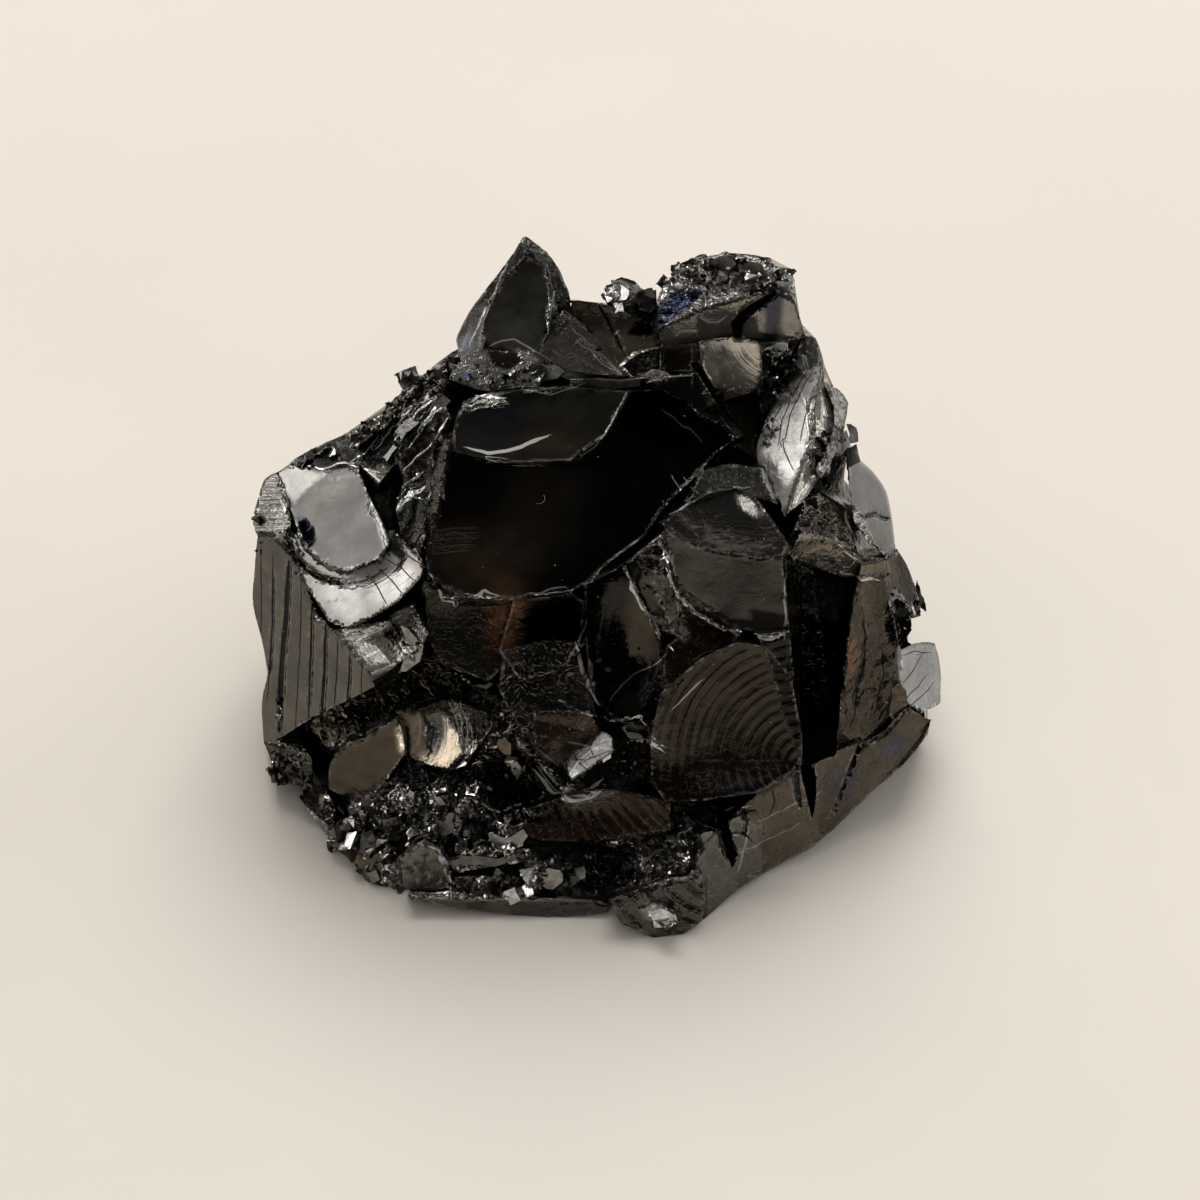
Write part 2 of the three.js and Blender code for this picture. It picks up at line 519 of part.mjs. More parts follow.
// Shell-shaped scars on the front: middle, reach across and up, rise of their rim, depth and turn.
const FRONT_SCARS = [
  { at: [-11.8, 16.9], out: 9.6, reach: [2.5, 2.4], rise: [0.2, -0.5], depth: 0.8 },
  { at: [2.7, -6], out: 12.3, reach: [3.1, 7.4], rise: [0.05, 0.2], depth: 2, turn: 8 },
  { at: [-0.8, -17.4], out: 8.4, reach: [5.4, 3.6], rise: [0.1, 0.1], depth: 2.2, turn: 12 },
  { at: [-9.2, -22.6], out: 4.4, reach: [1.9, 1.6], rise: [0.2, -0.1], depth: 1 },
];

// Scars round the sides and the back, by place and by the way they face.
const SIDE_SCARS = [
  { at: [-3, 29, 13], facing: [-0.1, 1, 0.12], reach: [17, 12], depth: 3.4, turn: 10 },
  { at: [15, 29, 27], facing: [0.25, 1, 0.35], reach: [9, 8], depth: 2, turn: 0 },
  { at: [-17, 26, 25], facing: [-0.5, 1, 0.5], reach: [9.5, 7], depth: 2.2, turn: 20 },
  { at: [22, 23.5, 11], facing: [0.75, 1, 0.05], reach: [10, 9], depth: 2.6, turn: -10 },
  { at: [-25, 22, 8], facing: [-0.7, 1, 0], reach: [9, 7], depth: 2.2, turn: 30 },
  { at: [31.5, 8, 6], facing: [1, 0.25, 0.1], reach: [8, 6.5], depth: 1.8, turn: 0 },
  { at: [28, 16, 19], facing: [1, 0.6, 0.5], reach: [8, 6], depth: 1.6, turn: 15 },
  { at: [-33.8, 6, 8], facing: [-1, 0.1, 0.1], reach: [8, 6], depth: 1.6, turn: 0 },
  { at: [-29, 17, 22], facing: [-0.8, 0.7, 0.7], reach: [7, 5], depth: 1.3, turn: -20 },
  { at: [-6, 27.5, 33], facing: [-0.1, 1, 0.4], reach: [6, 7], depth: 1.5, turn: 0 },
  { at: [8, 28.5, 6], facing: [0.25, 1, -0.1], reach: [10, 6.5], depth: 2, turn: -15 },
];

const BUMPS = {
  knob: [
    front(0.2, 29.2, 1.4), front(0.7, 30.4, 1.8), front(1.4, 31, 1.7), front(2.4, 31.2, 1.6),
    front(3.4, 30.9, 1.6),
    front(4.2, 30.1, 1.4), front(4, 28.6, 1.6), front(2.2, 28, 2.2), front(0.9, 29.6, 2.6),
    front(1.6, 30.4, 2.8),
    front(2.8, 30.4, 2.8), front(3.2, 29.2, 3), front(1.6, 28.9, 3),
    plain(1, 21, 38), plain(4, 21, 38),
  ],
  knobSide: [
    front(3.4, 29.6, 1.4), front(4.6, 30, 1.2), front(5.9, 30.1, 1), front(6.2, 29, 1.4),
    front(5.4, 27.6, 2.4),
    front(3.8, 28, 2.4), plain(4, 21.5, 37.5), plain(6.5, 22, 37),
  ],
  bead: [
    front(28.6, -0.6, 2), front(30, 0, 1), front(31, -1.6, 0.4), front(31.2, -4, 0), front(29.9, -5.8, 0.6),
    front(28.7, -4.6, 1.6), front(28.4, -2.6, 2.2), front(29.8, -2.8, 1.9), front(30, -3, -4),
    front(28, -3, -3),
  ],
};

// Shards left standing in the scars, and the knobs on the rim.
const LATE_FACETS = {
  whiteChip: {
    outline: [[-3.6, -17], [-2.5, -15.5], [-0.2, -13.8], [1.2, -14.5], [1.5, -16], [0, -17], [-2, -18.5],
      [-3, -19.2]],
    out: 8.2, rise: [0.75, -0.35], deep: 4, flare: 0,
  },
  paleCrescent: {
    outline: [[-11.4, -24.2], [-9.6, -24.4], [-7.8, -23.4], [-7.4, -24.6], [-8.8, -26], [-10.4, -26]],
    out: 5, rise: [0.3, -0.4], deep: 4, flare: 0,
  },
  holeChip: {
    outline: [[4.6, -31.8], [5.6, -31.2], [7.4, -31.8], [7.8, -33], [6.6, -33.8], [5.4, -33]],
    out: 8.4, rise: [0.6, -0.5], deep: 4, flare: 0,
  },
  holeWall: {
    outline: [[6.6, -23.6], [9, -23.4], [9.6, -24.6], [8.8, -27.6], [7.6, -26.4], [6.4, -25]],
    out: 5, rise: [0.7, 0], deep: 5, flare: 0,
  },
};

// Crumbled ground: middle and reach on the front, how far out, its rise, how many and how big.
const CRUMBS = [
  { at: [-19, -22.6], reach: [6.8, 2.6], out: 2.2, rise: [0.32, 0.1], count: 40, size: [0.7, 1.7] },
  { at: [-12.6, -23], reach: [3.6, 3.6], out: 4, rise: [0.2, 0.1], count: 16, size: [0.7, 1.5] },
  { at: [-5, -28.6], reach: [4.8, 1.7], out: 5.2, rise: [0, 0.2], count: 14, size: [0.6, 1.4] },
  { at: [5.5, -29.6], reach: [3.6, 0.9], out: 7, rise: [0, 0.3], count: 5, size: [0.5, 1] },
  { at: [18.2, 21.6], reach: [1.6, 2.9], out: 3.8, rise: [-0.3, 0], count: 8, size: [0.6, 1.2] },
  { at: [12.6, 31.4], reach: [6.4, 2], out: 3.2, rise: [-0.05, -0.75], count: 26, size: [0.8, 1.6] },
  { at: [21.8, 14.6], reach: [1, 4.4], out: 5.6, rise: [-0.6, -0.6], count: 6, size: [0.5, 0.9] },
  { at: [-18.6, 20.2], reach: [4.2, 2], out: 4.2, rise: [0.5, -1], count: 9, size: [0.8, 1.6] },
  { at: [-10.6, 21.6], reach: [4.2, 1.2], out: 6.4, rise: [0, -0.3], count: 7, size: [0.5, 1.1] },
  { at: [16.4, 16.6], reach: [1.4, 2], out: 5, rise: [-0.8, 0], count: 5, size: [0.6, 1.1] },
  { at: [-31.2, -18.6], reach: [2, 1.2], out: -4.4, rise: [0.6, 0.4], count: 5, size: [0.6, 1.1] },
  { at: [-23.2, 16.6], reach: [2.6, 0.9], out: 3.4, rise: [0.5, -1], count: 4, size: [0.8, 1.4] },
  { at: [-15, 23.4], reach: [1.2, 1.4], out: 2.4, rise: [0.6, -0.6], count: 3, size: [0.8, 1.3] },
  { at: [-26.6, -24.6], reach: [2.6, 2.4], out: -1.6, rise: [0.5, 0.3], count: 6, size: [0.8, 1.5] },
];

// The same scatter of numbers every time.
function scatter(seed) {
  let state = seed;
  return () => {
    state = (state * 1664525 + 1013904223) % 4294967296;
    return state / 4294967296;
  };
}

function crumbs({ at, reach, out, rise, count, size }, random) {
  const pieces = [];
  for (let i = 0; i < count; i++) {
    const angle = random() * Math.PI * 2;
    const far = Math.sqrt(random());
    const across = Math.cos(angle) * far * reach[0];
    const up = Math.sin(angle) * far * reach[1];
    const middle = front(at[0] + across, at[1] + up, out + rise[0] * across + rise[1] * up - 0.3);
    const half = size[0] + (size[1] - size[0]) * random() ** 2;
    const points = [];
    for (let k = 0; k < 8; k++) {
      const way = new THREE.Vector3(random() - 0.5, random() - 0.5, random() - 0.5).normalize();
      points.push(middle.clone().addScaledVector(way, half * (0.75 + 0.5 * random())));
    }
    points.push(middle.clone().addScaledVector(OUT, -half * 2.2));
    pieces.push(shard(points));
  }
  return pieces;
}

// A shallow bowl with its rim in its own XZ plane and a short plug standing over it.
const BOWL_RINGS = 3;
const BOWL_SIDES = 16;
function bowl(depth, plug) {
  const profile = [];
  for (let i = 0; i <= BOWL_RINGS; i++) {
    const r = i / BOWL_RINGS;
    profile.push(new THREE.Vector2(r, -depth + depth * r * r));
  }
  profile.push(new THREE.Vector2(1.02, plug), new THREE.Vector2(0, plug));
  return new THREE.LatheGeometry(profile, BOWL_SIDES);
}

function scar({ middle, normal, side, reach, depth, turn = 0, plug = 3 }) {
  const y = normal.clone().normalize();
  const x = side.clone().addScaledVector(y, -side.dot(y)).normalize();
  const z = x.clone().cross(y);
  const geometry = bowl(depth, plug);
  geometry.rotateY(0.13);
  geometry.scale(reach[0], 1, reach[1]);
  geometry.rotateY(THREE.MathUtils.degToRad(turn));
  geometry.applyMatrix4(new THREE.Matrix4().makeBasis(x, y, z).setPosition(middle));
  return solidOf(geometry);
}

function frontScar({ at, out, reach, rise, depth, turn }) {
  const normal = OUT.clone().addScaledVector(ACROSS, -rise[0]).addScaledVector(UP, -rise[1]);
  return scar({ middle: front(at[0], at[1], out), normal, side: ACROSS, reach, depth, turn, plug: 2.5 });
}

function sideScar({ at, facing, reach, depth, turn }) {
  const normal = plain(...facing);
  const side = new THREE.Vector3(0, 0, 1).cross(normal);
  return scar({ middle: plain(...at), normal, side, reach, depth, turn, plug: 12 });
}

// A prism under an outline of the front, between a sloping top and a sloping floor.
function prism(outline, top, floor, grown = 1) {
  const points = outline.map(([a, u]) => new THREE.Vector2(a, u));
  const middle = middleOf(outline);
  const geometry = new THREE.ExtrudeGeometry(new THREE.Shape(points), { depth: 1, bevelEnabled: false });
  const place = geometry.attributes.position;
  for (let i = 0; i < place.count; i++) {
    const upper = place.getZ(i) > 0.5;
    const a = place.getX(i);
    const u = place.getY(i);
    const wide = upper ? 1 : grown;
    const level = upper ? top(a - middle[0], u - middle[1]) : floor(a - middle[0], u - middle[1]);
    const at = front(middle[0] + (a - middle[0]) * wide, middle[1] + (u - middle[1]) * wide, level);
    place.setXYZ(i, at.x, at.y, at.z);
  }
  return solidOf(geometry);
}

function middleOf(outline) {
  const sum = outline.reduce(([a, u], p) => [a + p[0], u + p[1]], [0, 0]);
  return [sum[0] / outline.length, sum[1] / outline.length];
}

// A break face: its outline on the leaning front, how far out its middle stands, how much it rises
// per millimetre across and up, how deep it is rooted, how much it widens going in, and its bowl.
function facet({ outline, out, rise = [0, 0], deep = 12, flare = 0.1, bowl: hollow }) {
  const middle = middleOf(outline);
  const radius = outline.reduce((sum, p) => sum + Math.hypot(p[0] - middle[0], p[1] - middle[1]),
  0) / outline.length;
  const face = (a, u) => out + rise[0] * a + rise[1] * u;
  const root = (a, u) => Math.min(face(a, u), out) - deep;
  const block = prism(outline, face, root, 1 + (flare * deep) / radius);
  if (!hollow) return block;
  const level = face(hollow.at[0] - middle[0], hollow.at[1] - middle[1]);
  return block.subtract(frontScar({ ...hollow, out: level, rise }));
}

// A hollow looked into from the front.
function pit({ outline, out, rise }) {
  return prism(outline, () => 18, (a, u) => out + rise[0] * a + rise[1] * u);
}

function geometryOf(solid) {
  const mesh = solid.getMesh();
  const geometry = new THREE.BufferGeometry();
  geometry.setAttribute("position", new THREE.BufferAttribute(mesh.vertProperties, 3));
  geometry.setIndex(new THREE.BufferAttribute(mesh.triVerts, 1));
  return geometry;
}

// One body only: corners closer than the grain are joined, and what that pinches off is dropped.
function settled(solid) {
  let bodies = solid.decompose();
  for (let turn = 0; turn < 6; turn++) {
    const largest = bodies.sort((a, b) => b.volume() - a.volume())[0];
    const whole = solidOf(geometryOf(largest));
    bodies = whole.decompose();
    if (bodies.length === 1) return whole;
  }
  return bodies.sort((a, b) => b.volume() - a.volume())[0];
}

function build() {
  const random = scatter(20);
  const body = Object.values(BODY).map(shard);
  for (const corners of Object.values(BUMPS)) body.push(shard(corners));
  for (const shape of Object.values(FACETS)) body.push(facet(shape));
  let stone = wasm.Manifold.union(body);
  const cuts = [];
  for (const shape of Object.values(PITS)) cuts.push(pit(shape));
  for (const shape of FRONT_SCARS) cuts.push(frontScar(shape));
  for (const shape of SIDE_SCARS) cuts.push(sideScar(shape));
  stone = wasm.Manifold.difference([stone, ...cuts]);
  const late = Object.values(LATE_FACETS).map(facet);
  for (const patch of CRUMBS) late.push(...crumbs(patch, random));
  stone = wasm.Manifold.union([stone, ...late]);
  return settled(stone.trimByPlane([0, 0, 1], 0).asOriginal().simplify(0.15));
}

// The origin is under the middle of the whole lump, on the ground it stands on.
const lump = geometryOf(build());
lump.computeBoundingBox();
const centre = lump.boundingBox.getCenter(new THREE.Vector3());
lump.translate(-centre.x, -centre.y, -lump.boundingBox.min.z);

const stone = new THREE.Mesh(
  lump,
  new THREE.MeshStandardMaterial({ color: 0x1a1713, roughness: 0.2, metalness: 0.3 }),
);
stone.name = "stone";

const part = new THREE.Group();
part.add(stone);
export default part;
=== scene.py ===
"""A lump of elite shungite: a black, glassy carbon rock with shell-shaped breaks and crumbled ledges."""

import itertools
import math

import bmesh
import bpy
import numpy as np
from bpy.props import FloatProperty, FloatVectorProperty, IntProperty, PointerProperty
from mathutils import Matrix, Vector
from mathutils.bvhtree import BVHTree


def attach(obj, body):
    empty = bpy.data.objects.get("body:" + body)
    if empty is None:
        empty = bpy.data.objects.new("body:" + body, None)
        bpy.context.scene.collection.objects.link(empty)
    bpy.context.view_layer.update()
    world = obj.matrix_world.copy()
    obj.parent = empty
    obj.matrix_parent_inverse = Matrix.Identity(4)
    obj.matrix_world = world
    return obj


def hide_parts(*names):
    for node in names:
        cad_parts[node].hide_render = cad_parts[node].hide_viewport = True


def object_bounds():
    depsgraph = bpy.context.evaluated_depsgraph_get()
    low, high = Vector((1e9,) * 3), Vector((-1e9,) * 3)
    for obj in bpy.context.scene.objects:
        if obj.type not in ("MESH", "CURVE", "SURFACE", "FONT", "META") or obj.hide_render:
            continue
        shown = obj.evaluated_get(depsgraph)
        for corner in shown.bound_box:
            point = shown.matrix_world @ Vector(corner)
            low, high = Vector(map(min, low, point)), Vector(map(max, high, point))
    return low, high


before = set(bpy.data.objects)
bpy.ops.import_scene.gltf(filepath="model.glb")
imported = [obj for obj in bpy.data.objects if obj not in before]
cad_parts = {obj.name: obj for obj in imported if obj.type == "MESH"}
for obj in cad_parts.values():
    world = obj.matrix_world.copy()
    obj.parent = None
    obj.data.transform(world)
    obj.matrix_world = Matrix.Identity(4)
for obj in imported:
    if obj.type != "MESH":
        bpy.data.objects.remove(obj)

CAD_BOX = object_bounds()

bl_info = {
    "name": "Shungite Stone",
    "version": (1, 0, 0),
    "blender": (4, 5, 0),
    "location": "3D View > Sidebar > Shungite",
    "description": "Dresses a shungite hand specimen and sets its stage",
    "category": "Object",
}

MM = 0.001

# The stone's show side leans back. Places on it are millimetres across, up the slope and out of it.
MIDDLE = np.array([0.2, 0.4685, 20.0])
ACROSS = np.array([1.0, 0.0, 0.0])
UP = np.array([0.0, math.sqrt(0.5), math.sqrt(0.5)])
OUT = np.array([0.0, -math.sqrt(0.5), math.sqrt(0.5)])
SLOPE = np.stack([ACROSS, UP, OUT])

# How strongly each kind of surface mirrors, by colour. Silver and white mirror far more than the stone itself and
# mostly paint highlights.
TONES = {
    "soot": (0.012, 0.011, 0.010),
    "jet": (0.050, 0.045, 0.037),
    "glass": (0.085, 0.079, 0.068),
    "steel": (0.112, 0.108, 0.100),
    "bronze": (0.105, 0.086, 0.062),
    "umber": (0.080, 0.050, 0.032),
    "rust": (0.110, 0.048, 0.022),
    "gold": (0.190, 0.158, 0.118),
    "blue": (0.050, 0.058, 0.115),
    "silver": (0.240, 0.232, 0.220),
    "slate": (0.222, 0.230, 0.240),
    "white": (0.62, 0.61, 0.58),
}


def pairs(numbers):
    """Numbers in twos, as places across and up."""
    return np.reshape(numbers, (-1, 2))


def table(text):
    """The numbers in each row of a table."""
    return [[float(number) for number in row.split()] for row in text.strip().splitlines()]


def laid(tone, outline, **settings):
    """A break or a patch inside an outline, which is a row of places across and up."""
    return {"tone": tone, "outline": pairs(table(outline)[0]), **settings}


def oval(tone, **settings):
    """A soft oval patch."""
    return {"tone": tone, **settings}


# The breaks of the show side. Each has a tone and an outline, and may say how bright the tone is (gain), how much
# dull film covers it (on a bright tone, much film makes a matte glow that paints a highlight), how crumbled and torn
# it is, how much its rim shines, how far it is brought onto its plane (flat), and where its shine leans across and up
# (aim) and how firmly (hold). Gains are set break by break: high ones paint light into a break, low ones darken it.
# Ripples go round a middle (across, up, spacing, steepness) and hackles out from one (across, up, how many to the
# full turn, steepness).
FACES = {
    "dark_face": laid("jet", "-17 1.5 -17.3 3 -16 9 -14.8 13.8 -10 12.6 -3 12.9 0.5 15.2 2.8 19.7 6 20 8.2 19 "
        "10 17.5 12.2 16.5 13.5 15 11.5 13.5 10 12 6 8 4.5 5.5 1 3 -1 1 -3 -0.2 -6 -0.6 -10 -1 -13 -0.7 -15.5 0.5",
        ripples=(-25, 13, 1.6, 0.03), gain=0.16, rim=0.2),
    "dark_scallop": laid("jet", "-14.8 13.8 -14.3 17 -13.3 18.8 -10.5 19.6 -4 20.2 2.8 19.7 0.5 15.2 -3 12.9 "
        "-10 12.6", film=0.1, ripples=(-8, 22, 1.9, 0.05), rim=0.22),
    "bevel": laid("steel", "-16.4 15 -14.9 14.8 -15.9 9 -16.9 2.6 -17.7 2.4 -17.8 3.5 -17 9", film=0.1,
        aim=(0.3, 0.5), hold=0.8, gain=1.08, rim=0.4, torn=0.08),
    "brown_upper": laid("bronze", "-19.5 18 -16 19.6 -14.8 17 -15.5 14.5 -16.6 11 -19 10.3 -20.8 14", film=0.1,
        hackles=(-22, 4, 90, 0.12), crumble=0.1, gain=0.094, torn=0.6, rim=0.25),
    "brown_lower": laid("glass", "-19.5 10.6 -16.5 11 -17.2 6 -17.9 3 -19.5 4.5 -20.3 8", film=0.2,
        ripples=(-24, 9, 1.3, 0.12), gain=0.067, torn=0.35, rim=0.25),
    "ridge_inner": laid("steel", "-25 14.5 -22.5 16 -19 18.5 -16 19.6 -17.5 17 -20 13 -22 10.5 -23.5 12",
        hackles=(-30, 2, 110, 0.5), crumble=0.15, gain=0.318, torn=0.8, rim=0.35),
    "ridge_outer": laid("glass", "-25.6 15.5 -21.5 18 -18.7 20.8 -16 22.6 -14 22 -16 19.4 -19 18 -22.5 15.5 "
        "-24.5 14", hackles=(-34, 4, 100, 0.5), crumble=0.2, gain=2.057, torn=0.9, rim=0.4),
    "ridge_end": laid("bronze", "-31.5 12.3 -30 13.5 -27 15 -25.5 15.5 -23.8 13.5 -24 11.5 -26.5 11 -29 12",
        film=0.35, crumble=0.1, gain=0.058, torn=0.25, rim=0.2),
    "bright_rim": laid("steel", "-31.3 5.7 -30 2.8 -29.3 0.5 -28 -1.5 -27 -3 -25 -3.8 -22.5 -2.7 -20 -1.2 -17.5 1.5 "
        "-17.6 3 -19 4.5 -20.2 5.4 -20.8 4.6 -21.9 2.8 -25 1.6 -27.1 2.1 -29.1 3.8 -30.3 5.8",
        hackles=(-26.5, 9, 110, 0.22), ripples=(-26.5, 9, 2.3, 0.1), gain=0.647, flat=0.8, aim=(0.76, -0.46), hold=1,
        film=0.15, torn=0.05),
    "bright_dish": laid("silver", "-32.3 11.8 -30 12.6 -27 11.7 -25 12.2 -23.8 11.5 -22.8 9 -21.5 6.5 -20.8 4.6 "
        "-22 3 -25 1.8 -27 2.3 -29 4 -30.2 6 -31.2 9", flat=0.6, gain=0.15, torn=0.04, film=0.1, rim=0.1, hold=0.85,
        aim=(0.74, -0.5)),
    "notch": laid("steel", "-34.2 9.3 -33.6 11 -32.3 12 -31.2 9 -30.8 6.3 -32.3 5.3 -34.2 5.2 -34.8 6.5",
        crumble=0.08, gain=1.43, ripples=(-36, 60, 0.62, 0.55), aim=(0.8, -0.35), hold=0.6, torn=0.3, rim=0.4),
    "striped_face": laid("glass", "-34.2 5.4 -32 5.2 -31 4.2 -29 -0.5 -28 -2.6 -26 -4.5 -24 -7 -22.3 -9.6 -26 -11.5 "
        "-30 -13.5 -32.5 -15.6 -33.8 -15.5 -34 -11 -33.2 -8 -34.2 -4 -34.8 -1", film=0.3,
        hackles=(-27, 150, 620, 0.035), rim=0.2, torn=0.06, gain=1.25),
    "toe": laid("glass", "-33.8 -15.4 -32.5 -15.2 -30 -15.4 -28.8 -17 -28.8 -19.6 -31 -19.4 -32.6 -18", crumble=0.25,
        torn=0.4, rim=0.2, gain=0.761),
    "cheek_grey": laid("steel", "-26.2 -4 -24 -3.6 -21 -3 -20 -4.5 -20.2 -7.5 -22.5 -9 -24.3 -7", film=0.1,
        hackles=(-27, 4, 120, 0.15), gain=0.8, torn=0.35, rim=0.35, aim=(0.7, -0.4), hold=0.4,
        ripples=(-30, 10, 0.9, 0.6)),
    # The bright chip on the cheek: a high gain, turned toward the window: painted highlight.
    "cheek_bright": laid("steel", "-21 -2.6 -18.5 -1.4 -17 -4.3 -18 -6.2 -20.3 -7.3 -20 -4.5",
        hackles=(-25, 6, 120, 0.3), crumble=0.15, gain=4.5, torn=0.5, rim=0.4, aim=(0.72, -0.35), hold=0.5),
    "wall_left": laid("jet", "-17.5 1 -13 -0.6 -8 -1 -7.5 -5 -11 -9 -15 -8.6 -17 -5", film=0.25,
        ripples=(-12, 14, 1.1, 0.03), gain=0.7, torn=0.3, rim=0.12),
    "wall_middle": laid("jet", "-8.5 -0.7 -3 -0.2 -1.2 -1.5 -1.2 -5 -4 -8 -8 -9 -10 -6", film=0,
        ripples=(-6, 10, 1.2, 0.03), gain=0.015, torn=0.12, rim=0.08),
    "striated": laid("glass", "-9.5 -6 -5 -5 -2.4 -5.3 -1 -9.5 -0.4 -12.5 -4 -15 -8 -14 -10 -10",
        hackles=(4, -1, 130, 0.6), ripples=(4, 0, 1.7, 0.1), crumble=0.05, gain=1.68, torn=0.25, rim=0.2),
    "brown_step": laid("umber", "-6.5 -12 -1 -12 0 -14 -1.5 -16 -4 -17.4 -6.5 -16", film=0.3,
        hackles=(3, -6, 120, 0.35), gain=0.5, torn=0.35, rim=0.25),
    "low_brown": laid("umber", "-8.5 -21 -3 -20.2 2 -20 7 -21 7 -24 0 -25 -6 -25 -9 -23.5", film=0.25,
        ripples=(14, -14, 1, 0.25), gain=0.55, torn=0.3, hackles=(14, -8, 200, 0.3), rim=0.2),
    "fan_grey": laid("glass", "6.5 6 9 4.4 12 3.6 16 3 18 3.5 18.5 0 18.8 -4 17 -4.5 14 -3.8 10 -1.4 8 0 7.2 2",
        film=0.25, flat=0.6, gain=0.72, torn=0.02, rim=0.3),
    "fan_leaf": laid("glass", "6.2 6.6 9 9 13 10.2 15.5 9.2 17 7 18.6 4.4 18 3.4 16 3 12 3.6 9 4.4",
        hackles=(4, 4, 150, 0.2), ripples=(3, 4, 1.8, 0.07), gain=0.9, aim=(0, -0.9), hold=0.45, torn=0.06, rim=0.35),
    "fan_top": laid("glass", "10 11.8 13 12.6 16 12 17.6 8.5 15.5 9.2 13 10.2 9 9", ripples=(10, 4, 1.4, 0.1),
        crumble=0.1, gain=0.75, film=0.3, torn=0.4, rim=0.25),
    "sliver": laid("glass", "2.3 2.6 4.2 4 6.4 5.8 7.1 2 7.9 0 7.6 -4.6 6 -4 4 -1", hackles=(3, 14, 220, 0.2),
        crumble=0.12, gain=0.7, torn=0.3, rim=0.3),
    "leaf_bed": laid("glass", "-1.6 0.6 2.3 2.6 4 -1 6 -4.4 6.4 -8 6.4 -11.5 5 -13.6 1.5 -13 -0.6 -10.5 -1.4 -5",
        ripples=(-4, -2, 1.9, 0.06), gain=0.281, torn=0.06, rim=0.15),
    "red_brown": laid("umber", "7.2 1 10 -1.6 14 -4 13 -5.8 10 -7.2 6.4 -10.6 6.2 -6 7.6 -4.6", film=0.2,
        hackles=(20, 4, 150, 0.6), gain=0.4, torn=0.2, rim=0.15),
    "ribbed": laid("bronze", "6 -10.4 10 -6.8 14 -5 17 -6 19 -9 19.9 -14 19.9 -17.6 16 -20 10 -21 6.5 -21 5 -19 "
        "5 -15", film=0.15, ripples=(20, -17, 1, 0.15), flat=0.35, gain=0.38, torn=0.05, rim=0.12,
        hackles=(20, -17, 40, 0.02)),
    "ribbed_side": laid("glass", "15.5 -4.4 18.8 -4 19.4 -9 20 -14 20 -17.4 18.4 -13 17 -8",
        ripples=(20, -17, 1.1, 0.1), gain=0.216, torn=0.12, rim=0.1),
    "column": laid("bronze", "23.6 -16 23.9 -11 25 -2 26 2.4 28.3 2.8 29 -1 29.8 -5 29.8 -9 28.5 -13 26.5 -15.8",
        film=0.22, hackles=(24, 90, 520, 0.7), gain=0.506, torn=0.3, rim=0.2),
    "brow": laid("bronze", "18.8 3.6 20 6 23 5.2 25.4 3.6 28.6 3 29 1.8 26 1.5 22 1.6 19.5 2.4", film=0.2,
        crumble=0.05, gain=1.4, torn=0.25, rim=0.35),
    "brow_upper": laid("glass", "18.6 4.6 20.4 9 22 9.8 24.6 8 25.4 4 23 5 20.5 5", hackles=(20, 16, 160, 0.2),
        crumble=0.05, aim=(-0.5, 0.45), hold=0.8, gain=3.2, torn=0.2, rim=0.35),
    "pale_patch": laid("slate", "24.3 16 25.6 13.4 27.2 12.2 28.8 10 29.5 6.5 29.6 4.6 28.4 3.4 26.5 5 25.2 7 "
        "24.8 10", flat=0.6, gain=0.64, torn=0.05, rim=0.15, film=0.25, ragged=0.12),
    "pale_low": laid("slate", "30 -6 31.8 -5.2 33.8 -5.4 34.4 -9 34.2 -11.5 32.5 -12.4 30.5 -11.2 29.9 -9",
        hackles=(60, 60, 900, 0.12), flat=0.6, gain=1.254, torn=0.1, rim=0.2, film=0.25, ragged=0.12),
    # The lens: silver with much film, a matte glow that paints its mirror shine.
    "lens": laid("silver", "22.2 22.5 22 21 21.6 19 21 15 20 12 19 9 18.3 7.3 17.5 8.8 16.5 11 15.5 13 15.5 14.2 "
        "16.5 17 18 19.5 20 21.5", hackles=(16, -30, 300, 0.14), gain=1.35, film=0.6, torn=0.03, rim=0.25, flat=0.6),
    # A high gain on the lens's side: painted light.
    "lens_side": laid("glass", "22.2 22.6 23.6 19.8 24 18 23.4 15 22.4 12.5 20.4 9 18.3 7.3 19 9 20 12 21 15 "
        "21.6 19 22 21", film=0.2, hackles=(24, 40, 420, 0.5), gain=4.6, torn=0.6, rim=0.4),
    "lens_outer": laid("steel", "22.4 20.6 24 20 24.8 18.7 24.4 16 23.6 13.6 22 11 21.4 12 23 15 23.4 18", film=0.3,
        hackles=(24, 40, 420, 0.25), crumble=0.2, gain=1.7, torn=0.5, rim=0.4),
    # The block's face and step at high gains: painted light.
    "block_face": laid("glass", "5.7 26.2 10 28.2 14 29.2 17.5 30 19.2 29.4 20 27.2 20.3 25.4 18 24.6 14 25 12 25.4 "
        "9 24.4 6.3 24", film=0.2, ripples=(9, 22, 1.6, 0.03), flat=0.3, aim=(-0.05, 0.62), hold=0.75, gain=3.12,
        torn=0.05, rim=0.1, soft=0.9),
    "block_step": laid("glass", "9.8 24.8 13.5 25.4 16 24.6 16.3 22 15.6 20 12.4 18.8 10.5 21", film=0.2,
        ripples=(18, 26, 1.8, 0.03), flat=0.3, aim=(0.1, 0.6), hold=0.85, gain=6.528, torn=0.02, rim=0.05, soft=0.6,
        ragged=0.25),
    # A high gain on the crust: painted light.
    "crust": laid("steel", "5.7 29 6.8 31 9 32.7 10.5 33.3 12.5 33.7 15 33.6 17 33.2 17.5 32.4 19 32.2 19.5 31 "
        "19.4 28.9 17 29.9 14 29.1 10 28 5.7 26", film=0.1, crumble=0.45, gain=5.4, torn=1, rim=0.2, aim=(0.2, -0.9),
        hold=0.35),
    "saddle": laid("bronze", "-3 29 0 28.7 2 28 5 26.6 5.5 24.2 3.4 23.2 2.2 21.3 0 24 -2.4 27", film=0.3,
